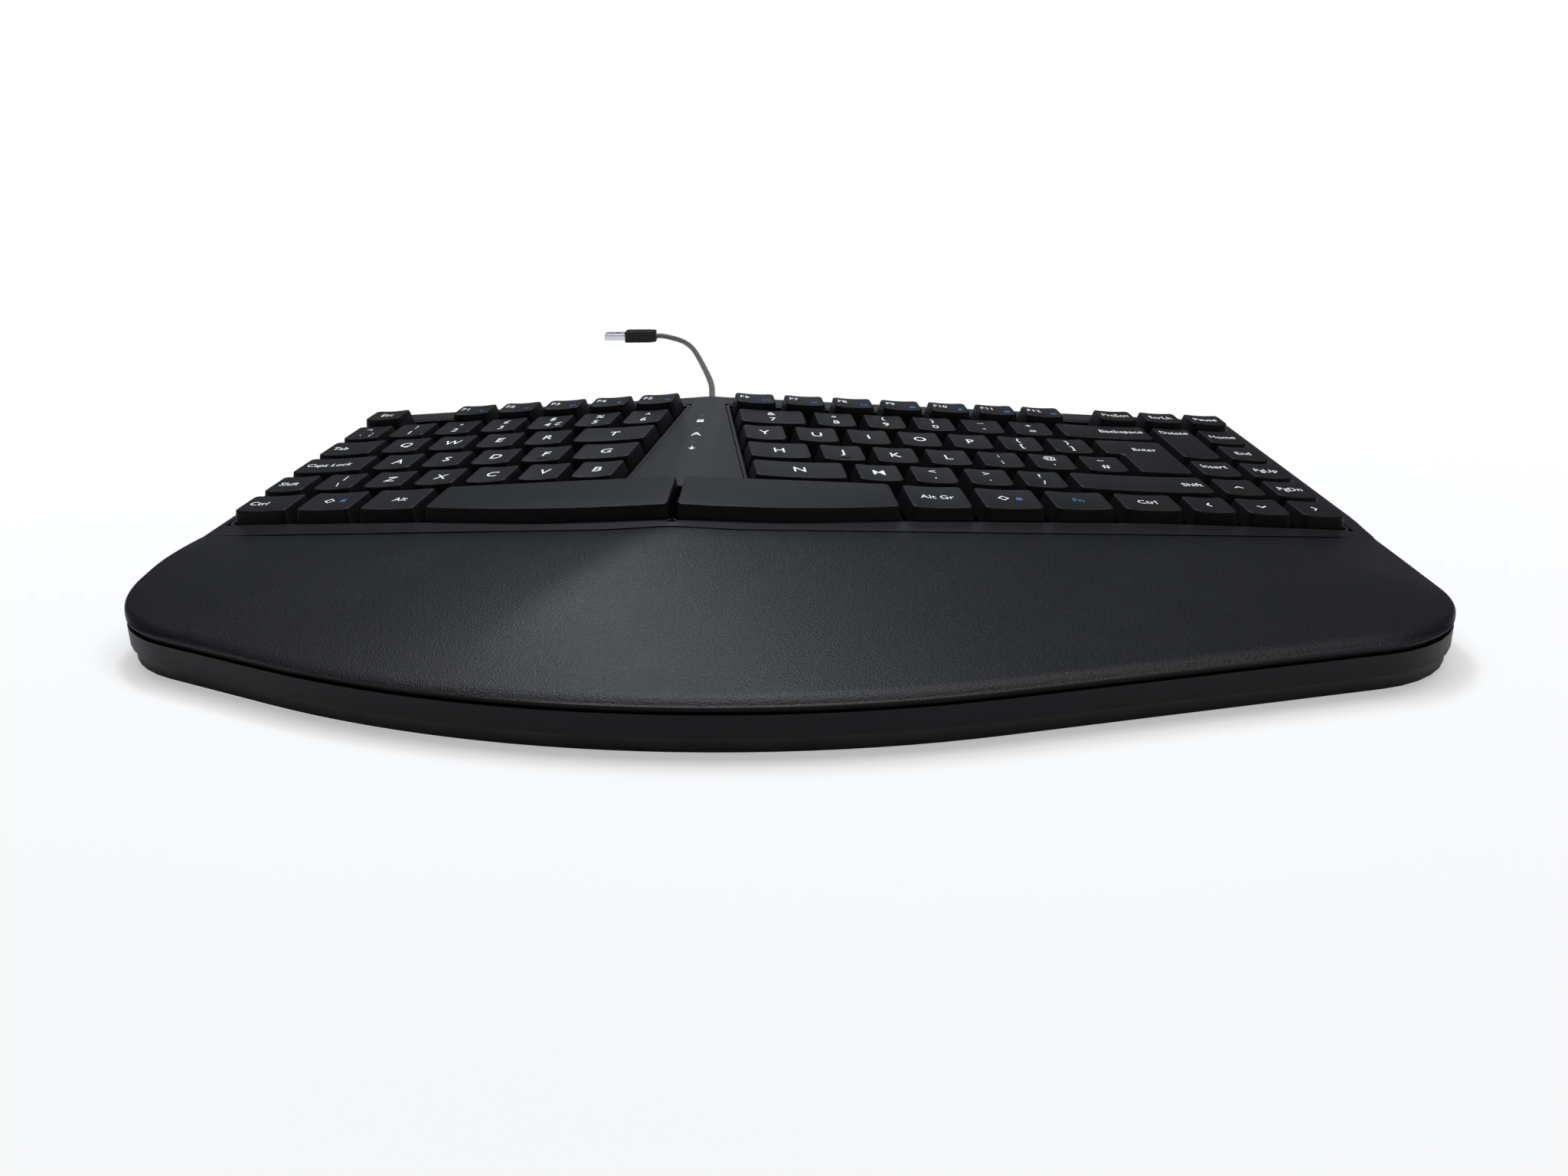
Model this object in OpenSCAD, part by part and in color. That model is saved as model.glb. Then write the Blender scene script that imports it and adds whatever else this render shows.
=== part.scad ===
// Compact ergonomic keyboard: two raked key fields split along a crest, a sweeping
// palm rest, and a wired lead that is stored as a coil behind the case.
// Front is -Y, up is +Z. Lengths in mm, angles in degrees.

/* [Keys] */
// Distance between neighbouring key centres
key_pitch = 19.05; // [18.6:0.05:19.4]
// Clear width between the top faces of neighbouring keys
key_gap = 4.45; // [4.2:0.05:5.2]
// Front to back depth of a key's top face
key_depth = 15; // [14:0.1:15.4]
// Front to back depth of a function key's top face
function_depth = 11.5; // [11:0.1:12]
// Height of a keycap from skirt to top face
cap_h = 5.8; // [5.4:0.1:6.4]
// How far a cap's skirt stands outside its top face
cap_flare = 1.25; // [0.8:0.05:1.4]
// Depth of the hollow across a cap's top
cap_dish = 0.45; // [0.2:0.05:0.6]
// Thickness of a cap's top and walls
cap_wall = 1.5; // [1.2:0.1:1.6]
// How far the function keys stand above the other keys
function_raise = 1.6; // [0:0.1:1.8]
// How far a key goes down
key_travel = 2.4; // [1.8:0.1:2.6]
// Side of a key's square stem
stem_w = 5; // [4.4:0.1:5.2]

/* [Stance] */
// Angle of each key field from the straight-ahead direction
half_yaw = 8.7; // [7.5:0.1:9.5]
// Sideways slope of each key field
half_tent = 5.75; // [4.5:0.05:6.25]
// Slope of the crest, rear higher
crest_tilt = 5; // [4:0.1:5.5]
// Height of the key-top crest above the desk, level with the shift row
crest_h = 42; // [42:0.5:46]
// From the crest to the first key's top face, along a row
inner_edge = 24.3; // [23.5:0.1:26]

/* [Thumb row] */
// Distance between the modifier keys of the thumb row
thumb_pitch = 24.2; // [23.5:0.1:24.8]
// Clear depth between the thumb row and the row behind it
thumb_gap = 4.2; // [3.8:0.1:4.6]
// From the shift row's front to the thumb row's front, at the outer ends
thumb_reach = 18; // [17:0.5:19]
// How much further forward the thumb row comes at the crest
thumb_sweep = 11; // [9:0.5:12]
// Half of the clear width between the two spacebars
space_gap = 1.5; // [1.3:0.1:2]
// How far a spacebar's front bows forward at its middle
space_bow = 2.3; // [1.8:0.1:2.4]

/* [Case] */
// Deck beside the outermost keys of the left half
left_margin = 6; // [5.6:0.1:7]
// Deck beside the outermost keys of the right half
right_margin = 9.5; // [8:0.1:10]
// Deck behind the function keys
rear_margin = 12.8; // [10:0.1:14]
// From the shift row's front to the palm rest's front edge
front_reach = 121; // [117:0.5:126]
// Radius of the front edge seen from above
front_r = 281; // [260:1:300]
// Slant of the front edge on the left, seen from above
front_left = 25.5; // [24:0.1:27]
// Slant of the front edge on the right, seen from above
front_right = 15.8; // [15:0.1:17]
// Radius of the front corners
corner_r = 42; // [36:1:46]
// Radius of the rear corners
rear_r = 8; // [7:0.5:10]
// Deck surface below the key tops
deck_drop = 4.2; // [4:0.1:4.6]
// Rounding of the deck along the crest
crest_r = 80; // [60:5:120]
// Rolled edge of the top mouldings
edge_r = 1.2; // [1:0.1:1.4]
// Side wall thickness of the mouldings
wall = 2; // [1.6:0.1:2.1]
// Top thickness of the mouldings
top_t = 2.5; // [2.2:0.1:2.8]
// Clear line between the palm rest and the top case
seam_gap = 0.3; // [0.2:0.05:0.5]
// Height of the palm rest's rim above the desk
rim_h = 15.8; // [15.7:0.1:17]
// Height of the band around the bottom case
band_h = 6.2; // [5.8:0.1:6.4]
// Height of the shadow line under the top mouldings
groove_h = 1.8; // [1.4:0.1:2]
// How far the plinth stands inside the band
plinth_in = 1.2; // [1:0.1:2]
// Height of the plinth below the band
plinth_h = 4.5; // [4:0.1:4.6]
// Height of the rubber pads below the plinth
pad_h = 1; // [0.8:0.1:1.2]
// Radius of the rubber pads
pad_r = 6.5; // [5:0.25:8]

/* [Tilt feet] */
// Width of a folding foot
foot_w = 34; // [28:1:40]
// Length of a folding foot
foot_l = 18; // [15:0.5:20]
// Radius of a foot's hinge pin
foot_pin_r = 1.5; // [1.2:0.05:1.6]

/* [Lead] */
// Diameter of the lead
cord_d = 3.5; // [3.3:0.1:3.6]
// Thickness of the band that ties the coil
tie_t = 0.8; // [0.6:0.1:1]
// Width of the band that ties the coil
tie_w = 9; // [6:0.5:14]
// Length of the plug's moulded grip
plug_l = 22; // [20:0.5:26]

/* [Hidden] */
$fn = 48;

// Levels below the key-top plane of a half, measured along its normal
press_room = 0.4;
frame_t = 1.5;
stem_out = 0.1;
dome_gap = 0.2;
dome_h = 2.5;
sheet_t = 0.6;
film_t = 0.3;
plate_t = 0.8;
h_deck = -deck_drop;
h_roof = h_deck - top_t;
h_floor = -(cap_h + key_travel + press_room);
h_under = h_floor - frame_t;
h_stem = h_under - stem_out;
h_dome = h_stem - dome_gap;
h_sheet = h_dome - dome_h;
h_film = h_sheet - sheet_t;
h_plate = h_film - film_t;
h_stack = h_plate - plate_t;
h_ceiling = -cap_wall;
h_guide = h_ceiling - key_travel - 0.6;

// Clearances
stem_gap = 0.2;
guide_wall = 1;
well_margin = cap_flare + 1.5;
well_front = 0.4;
well_inner = 0.8;
tray_wall = 1.2;
split_gap = 0.5;
pin_gap = 0.06;
fit = 0.05;

// Heights above the desk
z_plinth = pad_h;
z_band = z_plinth + plinth_h;
z_lip = z_band + band_h;
z_case = z_lip + groove_h;
floor_t = 2;
z_floor = z_plinth + floor_t;
groove_in = 1.3;
band_wall = 3;
plinth_wall = max(plinth_in + wall, band_wall + 0.4);
step_h = 1;

// Keys from the crest outwards, as a name and a width in key pitches,
// with an empty name for a gap. Rows run from the shift row to the back.
LEFT = [
    [["b", 1], ["v", 1], ["c", 1], ["x", 1], ["z", 1], ["backslash", 1], ["shift_left", 1]],
    [["g", 4/3], ["f", 1], ["d", 1], ["s", 1], ["a", 1], ["caps", 5/3]],
    [["t", 5/3], ["r", 1], ["e", 1], ["w", 1], ["q", 1], ["tab", 4/3]],
    [["6", 1], ["5", 1], ["4", 1], ["3", 1], ["2", 1], ["1", 1], ["grave", 1]],
    [["f5", 1], ["f4", 1], ["f3", 1], ["f2", 1], ["f1", 1], ["", 1], ["esc", 1]]
];
RIGHT = [
    [["n", 11/6], ["m", 1], ["comma", 1], ["dot", 1], ["slash", 1], ["shift_right", 11/4],
     ["up", 1], ["pgdn", 1]],
    [["h", 4/3], ["j", 1], ["k", 1], ["l", 1], ["semicolon", 1], ["quote", 1], ["hash", 1],
     ["", 5/4], ["insert", 1], ["pgup", 1]],
    [["y", 1], ["u", 1], ["i", 1], ["o", 1], ["p", 1], ["lbracket", 1], ["rbracket", 1],
     ["enter", 19/12], ["", 1], ["end", 1]],
    [["7", 3/2], ["8", 1], ["9", 1], ["0", 1], ["minus", 1], ["equals", 1],
     ["backspace", 25/12], ["delete", 1], ["home", 1]],
    [["f6", 1], ["f7", 1], ["f8", 1], ["f9", 1], ["f10", 1], ["f11", 1], ["f12", 1], ["", 7/12],
     ["prtscn", 1], ["scrlk", 1], ["pause", 1]]
];
LEFT_THUMB = ["alt", "win_left", "ctrl_left"];
RIGHT_THUMB = ["altgr", "win_right", "fn", "ctrl_right"];
ARROWS = ["left", "down", "right"];

// Keys that share one node
GROUPS = [
    ["function_keys_left", ["esc", "f1", "f2", "f3", "f4", "f5"]],
    ["function_keys_right", ["f6", "f7", "f8", "f9", "f10", "f11", "f12"]],
    ["system_keys", ["prtscn", "scrlk", "pause"]],
    ["number_keys_left", ["grave", "1", "2", "3", "4", "5", "6"]],
    ["number_keys_right", ["7", "8", "9", "0", "minus", "equals"]],
    ["punctuation_keys", ["lbracket", "rbracket", "semicolon", "quote", "hash", "comma", "dot", "slash"]],
    ["edge_keys_left", ["tab", "caps", "backslash", "ctrl_left", "win_left", "alt"]],
    ["modifier_keys_right", ["altgr", "win_right", "fn", "ctrl_right"]],
    ["navigation_keys", ["delete", "home", "end", "insert", "pgup", "pgdn", "up", "left", "down", "right"]],
    ["enter_key", ["enter", "enter_lower"]]
];
SINGLES = ["q", "w", "e", "r", "t", "y", "u", "i", "o", "p", "a", "s", "d", "f", "g", "h", "j", "k", "l",
           "z", "x", "c", "v", "b", "n", "m", "space_left", "space_right", "backspace",
           "shift_left", "shift_right"];
KEY_NODES = concat([for (s = SINGLES) str("key_", s)], [for (g = GROUPS) g[0]]);

// From a half's own frame (outwards, back, normal) to the split frame, right half
function turned(p) =
    let (x1 = p[0]*cos(half_yaw) - p[1]*sin(half_yaw))
    let (y1 = p[0]*sin(half_yaw) + p[1]*cos(half_yaw))
    let (x2 = x1*cos(half_tent) + p[2]*sin(half_tent))
    let (z2 = -x1*sin(half_tent) + p[2]*cos(half_tent))
    [x2, y1*cos(crest_tilt) - z2*sin(crest_tilt), y1*sin(crest_tilt) + z2*cos(crest_tilt)];
back_dir = turned([0, 1, 0]);
out_dir = turned([1, 0, 0]);
normal = turned([0, 0, 1]);

// Where a line of constant distance from the crest plane meets row depth v at level h
function at_split(v, x0, h) =
    (x0 - h*sin(half_tent) + v*sin(half_yaw)*cos(half_tent)) / (cos(half_yaw)*cos(half_tent));

// Key field edges
left_span = 7;
right_span = 127/12;
function outer_edge(side) = inner_edge + key_pitch*(side < 0 ? left_span : right_span) - key_gap;
rear_edge = 4*key_pitch + function_depth;
thumb_flat = 155;
function thumb_front(u) = -thumb_reach - thumb_sweep*max(0, 1 - u/thumb_flat);

// Quadrilateral of a key's top face, anticlockwise from its inner front corner
function span_before(row, i) = i == 0 ? 0 : span_before(row, i - 1) + row[i - 1][1];
function box(u0, u1, v0, v1) = [[u0, v0], [u1, v0], [u1, v1], [u0, v1]];
function row_keys(rows, side) = [
    for (r = [0:4])
    for (i = [0:len(rows[r]) - 1])
    let (name = rows[r][i][0])
    if (name != "")
    let (u0 = inner_edge + key_pitch*span_before(rows[r], i))
    let (u1 = u0 + key_pitch*rows[r][i][1] - key_gap)
    let (v0 = key_pitch*(name == "delete" ? r - 1 : r))
    let (v1 = key_pitch*r + (r == 4 ? function_depth : key_depth))
    [name, side, box(u0, u1, v0, v1), r == 4 ? function_raise : 0]
];
function thumb_box(u0, u1) =
    [[u0, thumb_front(u0)], [u1, thumb_front(u1)], [u1, -thumb_gap], [u0, -thumb_gap]];
function thumb_keys(names, side, last) = [
    for (i = [0:len(names) - 1])
    let (u1 = last - thumb_pitch*(len(names) - 1 - i))
    [names[i], side, thumb_box(u1 - thumb_pitch + key_gap, u1), 0]
];
arrow_start = inner_edge + key_pitch*(right_span - 3);
left_last = outer_edge(-1);
right_last = arrow_start - key_gap;
space_left_out = left_last - 3*thumb_pitch;
space_right_out = right_last - 4*thumb_pitch;
space_slope = thumb_sweep/thumb_flat;
function front_corner_u(x0, h, extra) =
    let (c = cos(half_yaw)*cos(half_tent))
    let (s = sin(half_yaw)*cos(half_tent))
    (x0 - h*sin(half_tent) - (thumb_reach + thumb_sweep + extra)*s) / (c - space_slope*s);
function space_box(out) =
    let (u0 = front_corner_u(space_gap, 0, 0))
    [[u0, thumb_front(u0)], [out, thumb_front(out)], [out, -thumb_gap],
     [at_split(-thumb_gap, space_gap, 0), -thumb_gap]];
enter_u = inner_edge + key_pitch*span_before(RIGHT[1], 7);
KEYS = concat(
    row_keys(LEFT, -1),
    row_keys(RIGHT, 1),
    thumb_keys(LEFT_THUMB, -1, left_last),
    thumb_keys(RIGHT_THUMB, 1, right_last),
    [for (i = [0:2]) [ARROWS[i], 1,
        thumb_box(arrow_start + key_pitch*i, arrow_start + key_pitch*(i + 1) - key_gap), 0]],
    [["space_left", -1, space_box(space_left_out), 0],
     ["space_right", 1, space_box(space_right_out), 0],
     ["enter_lower", 1, box(enter_u, enter_u + key_pitch*5/4 - key_gap, key_pitch, 2*key_pitch + 1), 0]]
);
function group_of(name) = [for (g = GROUPS) for (k = g[1]) if (k == name) g[0]];
function node_of(name) = len(group_of(name)) > 0 ? group_of(name)[0] : str("key_", name);
function middle(q) = (q[0] + q[1] + q[2] + q[3])/4;
function is_space(name) = name == "space_left" || name == "space_right";
function is_wide(q) = q[1][0] - q[0][0] > 1.9*key_pitch;
function guide_shift(q) = (q[1][0] - q[0][0])/3;

// Plan outline of the body, a polygon with every corner rounded. Its origin is the crest,
// level with the shift row; the body's axis is midway between the two straight sides.
function side_at_crest(side) =
    let (p = turned([outer_edge(side) + (side < 0 ? left_margin : right_margin), 0, h_deck]))
    p[0] - back_dir[0]*p[1]/back_dir[1];
flare_a = atan2(-back_dir[0], back_dir[1]);
rear_p = turned([0, rear_edge + rear_margin, h_deck]);
rear_a = atan2(out_dir[1], out_dir[0]);
rear_y0 = rear_p[1] - rear_p[0]*tan(rear_a);
left_x = side_at_crest(-1) + 4;
right_x = side_at_crest(1) - 3.8;
split_x = -(right_x - left_x)/2;
function rear_corner(x) =
    let (u = (x - tan(flare_a)*rear_y0)/(1 + tan(flare_a)*tan(rear_a)))
    [u, rear_y0 + u*tan(rear_a)];
front_c = [16.9, front_r - front_reach];
function front_side(x, a) = [x, front_c[1] + ((x - front_c[0])*sin(a) - front_r)/cos(a)];
front_mid = 270 + (front_right - front_left)/2;
front_v = front_c + front_r/cos((front_left + front_right)/2)*[cos(front_mid), sin(front_mid)];
bend_r = 80;
apex_r = 60;
CORNERS = [
    [[-1, 1], rear_corner(side_at_crest(-1)), rear_r, 4],
    [[-1, 1], [left_x, (side_at_crest(-1) - left_x)/tan(flare_a)], bend_r, 2],
    [[1, 1], front_side(-left_x, -front_left), corner_r, 8],
    [[1, 1], front_v, front_r, 24],
    [[1, 1], front_side(right_x, front_right), corner_r, 8],
    [[1, 1], [right_x, (side_at_crest(1) - right_x)/tan(flare_a)], bend_r, 2],
    [[1, 1], rear_corner(side_at_crest(1)), rear_r, 4],
    [[1, 1], [0, rear_y0], apex_r, 6]
];
function corner(i) = let (c = CORNERS[(i + 8)%8]) [c[0][0]*c[1][0], c[0][1]*c[1][1]];
function heading(a, b) = atan2(b[1] - a[1], b[0] - a[0]);
function turn(a) = a > 180 ? a - 360 : a < -180 ? a + 360 : a;
function rounded(i, s) =
    let (a = heading(corner(i - 1), corner(i)))
    let (b = heading(corner(i), corner(i + 1)))
    let (t = turn(b - a))
    let (in_a = [-sin(a), cos(a)])
    let (v = corner(i) + s*(in_a + [-sin(b), cos(b)])/(1 + cos(t)))
    let (r = sign(t)*CORNERS[i][2] - s)
    let (c = v - r*tan(t/2)*[cos(a), sin(a)] + r*in_a)
    let (n = CORNERS[i][3])
    [for (k = [0:n]) c + r*[sin(a + t*k/n), -cos(a + t*k/n)]];
function plan(s) = [for (i = [0:7]) for (p = rounded(i, s)) p];
split_y = -(max([for (p = plan(0)) p[1]]) - front_reach)/2;
function outline(s) = [for (p = plan(s)) p + [split_x, split_y]];
function arc(c, r, a0, a1, n) = [for (i = [0:n]) c + r*[cos(a0 + (a1 - a0)*i/n), sin(a0 + (a1 - a0)*i/n)]];

// Seam between the palm rest and the top case, a rounded V seen from above
seam_y = -38.7;
seam_a = 12.4;
seam_r = 120;
seam_c = [split_x, split_y + seam_y + seam_r/cos(seam_a)];
function seam_arc(s) = arc(seam_c, seam_r - s, 270 - seam_a, 270 + seam_a, 8);
function seam_run(p, a, x) = [x, p[1] + (x - p[0])*tan(a)];
far = 400;
function seam_line(s) =
    let (p = seam_arc(s))
    concat([seam_run(p[0], -seam_a, -far)], p, [seam_run(p[8], seam_a, far)]);
function seam_height(s, x) =
    let (p = seam_arc(s))
    x < p[0][0] ? seam_run(p[0], -seam_a, x)[1] :
    x > p[8][0] ? seam_run(p[8], seam_a, x)[1] :
    seam_c[1] - sqrt(pow(seam_r - s, 2) - pow(x - split_x, 2));
module behind_seam(s, z0, z1) translate([0, 0, z0]) linear_extrude(z1 - z0)
    polygon(concat(seam_line(s), [[far, far], [-far, far]]));

// Height of the plane at level h of the nearer half, above the desk
function plane_z(p, h) =
    crest_h + (h - normal[0]*abs(p[0] - split_x) - normal[1]*(p[1] - split_y))/normal[2];

module on_half(side) translate([split_x, split_y, crest_h]) mirror([side < 0 ? 1 : 0, 0, 0])
    rotate([crest_tilt, 0, 0]) rotate([0, half_tent, 0]) rotate([0, 0, half_yaw]) children();
module both_halves() for (side = [-1, 1]) on_half(side) children();
module slab(pts, z0, z1) translate([0, 0, z0]) linear_extrude(z1 - z0) polygon(pts);

// Everything under level h of both halves, rounded along the crest
module below(h) translate([split_x, split_y, crest_h]) rotate([crest_tilt, 0, 0]) rotate([90, 0, 0])
    linear_extrude(2*far, center = true) polygon(concat(
        [[-far, -far], [far, -far], [far, (h - far*sin(half_tent))/cos(half_tent)]],
        arc([0, (h - crest_r)/cos(half_tent)], crest_r, 90 - half_tent, 90 + half_tent, 8),
        [[-far, (h - far*sin(half_tent))/cos(half_tent)]]));

// Closed solid through rings that all have the same number of points
function ring_faces(n, m) = [
    for (r = [0:m - 2])
    for (i = [0:n - 1])
    for (f = [[r*n + i, (r + 1)*n + (i + 1)%n, r*n + (i + 1)%n],
              [r*n + i, (r + 1)*n + i, (r + 1)*n + (i + 1)%n]]) f
];
function joined(lists) = [for (l = lists) for (p = l) p];
module loft(rings, lid = []) {
    n = len(rings[0]);
    m = len(rings);
    ends = len(lid) > 0 ? lid : [[for (i = [n - 1:-1:0]) i]];
    polyhedron(joined(rings), concat([for (f = ends) [for (i = [len(f) - 1:-1:0]) f[i]]],
        [for (f = ends) [for (i = f) (m - 1)*n + i]], ring_faces(n, m)));
}

// Ring of ten points round a quadrilateral, each side moved out by its own amount
function side_normal(q, i) = let (d = q[(i + 1)%4] - q[i]) [d[1], -d[0]]/norm(d);
function moved_corner(q, g, i) =
    let (a = side_normal(q, (i + 3)%4))
    let (b = side_normal(q, i))
    let (k = a[0]*b[1] - a[1]*b[0])
    let (ga = g[(i + 3)%4])
    q[i] + [ga*b[1] - g[i]*a[1], a[0]*g[i] - b[0]*ga]/k;
function toward(a, b, d) = a + (b - a)*d/norm(b - a);
function ring10(q0, g, c, z, drop, bow = 0) =
    let (q = [for (i = [0:3]) moved_corner(q0, g, i)])
    let (p = [toward(q[0], q[1], c), (q[0] + q[1])/2 + bow*side_normal(q, 0), toward(q[1], q[0], c),
              toward(q[1], q[2], c), toward(q[2], q[1], c),
              toward(q[2], q[3], c), (q[2] + q[3])/2, toward(q[3], q[2], c),
              toward(q[3], q[0], c), toward(q[0], q[3], c)])
    [for (i = [0:9]) [p[i][0], p[i][1], i == 1 || i == 6 ? z - drop : z]];
lid10 = [[8, 7, 0, 9], [7, 6, 1, 0], [6, 5, 2, 1], [5, 4, 3, 2]];

// Hollow keycap with its stem, in a half's frame
module keycap(k) {
    q = k[2];
    z = k[3];
    f = cap_flare;
    skirt = is_space(k[0]) ? [f, f, f, 0.2] : [f, f, f, f];
    bow = is_space(k[0]) ? space_bow : 0;
    dish = is_space(k[0]) || k[0] == "enter" || k[0] == "enter_lower" ? 0 : cap_dish;
    c = middle(q);
    stem = box(c[0] - stem_w/2, c[0] + stem_w/2, c[1] - stem_w/2, c[1] + stem_w/2);
    none = [0, 0, 0, 0];
    thin = -cap_wall*[1, 1, 1, 1];
    loft([
        ring10(stem, none, 0.6, h_stem, 0),
        ring10(stem, none, 0.6, h_ceiling + z, 0),
        ring10(q, thin, 1, h_ceiling + z, 0, bow),
        ring10(q, skirt + 0.9*thin, 1, -cap_h, 0, bow),
        ring10(q, skirt, 1.6, -cap_h, 0, bow),
        ring10(q, none, 1.6, z, dish, bow)
    ], lid10);
    if (is_wide(q)) for (s = [-1, 1]) translate([c[0] + s*guide_shift(q) - stem_w/2, c[1] - stem_w/2, h_stem])
        cube([stem_w, stem_w, h_ceiling - h_stem + 0.4]);
}
module key_node(n) color("#3a3b3d") for (k = KEYS) if (node_of(k[0]) == n) on_half(k[1]) keycap(k);

// Guide positions of a half's keys
function guides(side) = [
    for (k = KEYS)
    if (k[1] == side)
    let (c = middle(k[2]))
    for (d = is_wide(k[2]) ? [-1, 0, 1] : [0]) [c[0] + d*guide_shift(k[2]), c[1]]
];
function stems(side) = [for (k = KEYS) if (k[1] == side) middle(k[2])];

// Opening of a half's key field in its own plane, grown by m
function well(side, m, x0, h) =
    let (uo = outer_edge(side) + m)
    let (e = m + well_front)
    let (uf = front_corner_u(x0, h, e))
    let (vb = m - thumb_gap)
    let (ui = inner_edge - m - well_inner)
    let (us = side < 0 ? space_left_out : space_right_out)
    let (um = (front_corner_u(space_gap, 0, 0) + us)/2)
    concat([[uf, thumb_front(uf) - e], [um, thumb_front(um) - e - space_bow], [us, thumb_front(us) - e]],
        uo > thumb_flat + 5 ? [[thumb_flat, thumb_front(thumb_flat) - e]] : [],
        [[uo, thumb_front(uo) - e], [uo, rear_edge + m], [ui, rear_edge + m], [ui, vb],
         [at_split(vb, x0, h), vb]]);
module tray(side, h0, h1) slab(well(side, well_margin + tray_wall, split_gap, h_stack), h0, h1);

// Rolled shell of the case: full outline below, drawn in over the edge radius at the deck
function roll(p, dz) = [for (q = p) [q[0], q[1], max(plane_z(q, h_deck), z_case + edge_r + 0.3) + dz]];
function level(p, z) = [for (q = p) [q[0], q[1], z]];
module case_blank() loft([
    level(outline(0), z_case),
    roll(outline(0), -edge_r),
    roll(outline(0.134*edge_r), -0.5*edge_r),
    roll(outline(0.5*edge_r), -0.134*edge_r),
    roll(outline(edge_r), 0.02),
    level(outline(edge_r), 90)
]);

boss_r = 3.2;
screw_r = 1.25;
screw_head_r = 2.7;
screw_head_h = 1;
screw_l = 9;
case_bosses = [[split_x, split_y + 84], [split_x, split_y + 10]];
palm_bosses = [[-120, split_y - 55], [120, split_y - 50], [-35, split_y - 90], [75, split_y - 88]];
module at_bosses(list) for (p = list) translate([p[0], p[1], z_floor]) children();
module pilot() translate([0, 0, -floor_t - 1]) cylinder(r = screw_r + fit, h = screw_l + floor_t + 1);

// Three indicator windows stand square to the crest, on the panel between the key fields
lens_r = 1.1;
lens_flange = 0.9;
lens_x = -1;
lens_y = [44, 60, 76];
crest_deck = (h_deck - crest_r)/cos(half_tent) + crest_r;
crest_roof = (h_roof - crest_r)/cos(half_tent) + crest_r;
module at_lenses(z) translate([split_x, split_y, crest_h]) rotate([crest_tilt, 0, 0])
    for (y = lens_y) translate([lens_x, y, z]) children();

module top_case() color("#2b2c2e") difference() {
    union() {
        difference() {
            intersection() {
                case_blank();
                below(h_deck);
                behind_seam(0, 0, 100);
            }
            intersection() {
                slab(outline(wall), 0, 100);
                below(h_roof);
                behind_seam(wall, 0, 100);
            }
        }
        intersection() {
            at_bosses(case_bosses) cylinder(r = boss_r, h = 60);
            below(h_roof + 1);
        }
    }
    for (side = [-1, 1]) on_half(side) slab(well(side, well_margin, -0.5, 0), -12, 8);
    at_lenses(crest_deck - 6) cylinder(r = lens_r + fit, h = 12);
    at_bosses(case_bosses) pilot();
}

// Palm rest, drawn as sections from the seam to the front edge
palm_in = 10;
function between(a, b, t) = a + (b - a)*t;
function past_seam(p, g) = p[1] - seam_height(0, p[0]) + g;
function crossing(p, q, g) = between(p, q, past_seam(p, g)/(past_seam(p, g) - past_seam(q, g)));
function palm_outer(s, g) =
    let (o = outline(s))
    let (f = [for (i = [0:len(o) - 1]) if (past_seam(o[i], g) < -1) i])
    let (i0 = f[0])
    let (i1 = f[len(f) - 1])
    let (a = crossing(o[i0 - 1], o[i0], g))
    let (b = crossing(o[i1], o[i1 + 1], g))
    concat([for (k = [0:2]) between(a, o[i0], k/3)], [for (i = [i0:i1]) o[i]],
        [for (k = [1:3]) between(o[i1], b, k/3)]);
palm_edge = palm_outer(0, 0);
palm_left = palm_edge[0];
palm_right = palm_edge[len(palm_edge) - 1];
palm_x0 = palm_left[0] + palm_in;
palm_x1 = palm_right[0] - palm_in;
function ease(t) = 0.5 - 0.5*cos(180*min(1, max(0, t)));
function seam_pt(t, g) =
    let (x = between(palm_x0, palm_x1, 0.7*t + 0.3*ease(t)))
    [x, seam_height(0, x) - g];
// How far the rounding lowers the deck near the crest
function crown(p) =
    let (d = crest_r*sin(half_tent) - abs(p[0] - split_x))
    d < 0 ? 0 : d*d/(2*crest_r);
// Rim height, from the deck at the seam's ends down to the front
rim_run = 75;
function rim_z(p) =
    let (e = p[0] < 0 ? palm_left : palm_right)
    between(max(rim_h, plane_z(e, h_deck)), rim_h, ease((e[1] - p[1])/rim_run));
function fall(t) = 0.45*t + 0.55*t*t;
function palm_row(f, t, g, drop, z0) =
    let (b = seam_pt(t, g))
    let (e = toward(f, b, edge_r))
    let (zb = plane_z(b, h_deck) - crown(b) - drop)
    let (ze = rim_z(f) - drop)
    concat([[b[0], b[1], z0]],
        [for (t = [0, 0.14, 0.28, 0.42, 0.56, 0.7, 0.85, 1])
            let (p = between(b, e, t)) [p[0], p[1], zb - (zb - ze)*fall(t)]],
        [for (a = [30, 60, 90])
            let (p = toward(f, b, edge_r*(1 - sin(a)))) [p[0], p[1], ze - edge_r*(1 - cos(a))]],
        [[f[0], f[1], z0]]);
module palm_solid(s, drop, z0) {
    g = seam_gap + s;
    f = palm_outer(s, g);
    n = len(f) - 1;
    loft([for (i = [0:n]) palm_row(f[i], i/n, g, drop, z0)]);
}
module palm_rest() color("#26282b") difference() {
    union() {
        difference() {
            palm_solid(0, 0, z_case);
            palm_solid(wall, top_t, z_case - 5);
        }
        intersection() {
            at_bosses(palm_bosses) cylinder(r = boss_r, h = 40);
            palm_solid(wall/2, top_t/2, z_floor);
        }
    }
    at_bosses(palm_bosses) pilot();
}

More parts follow.
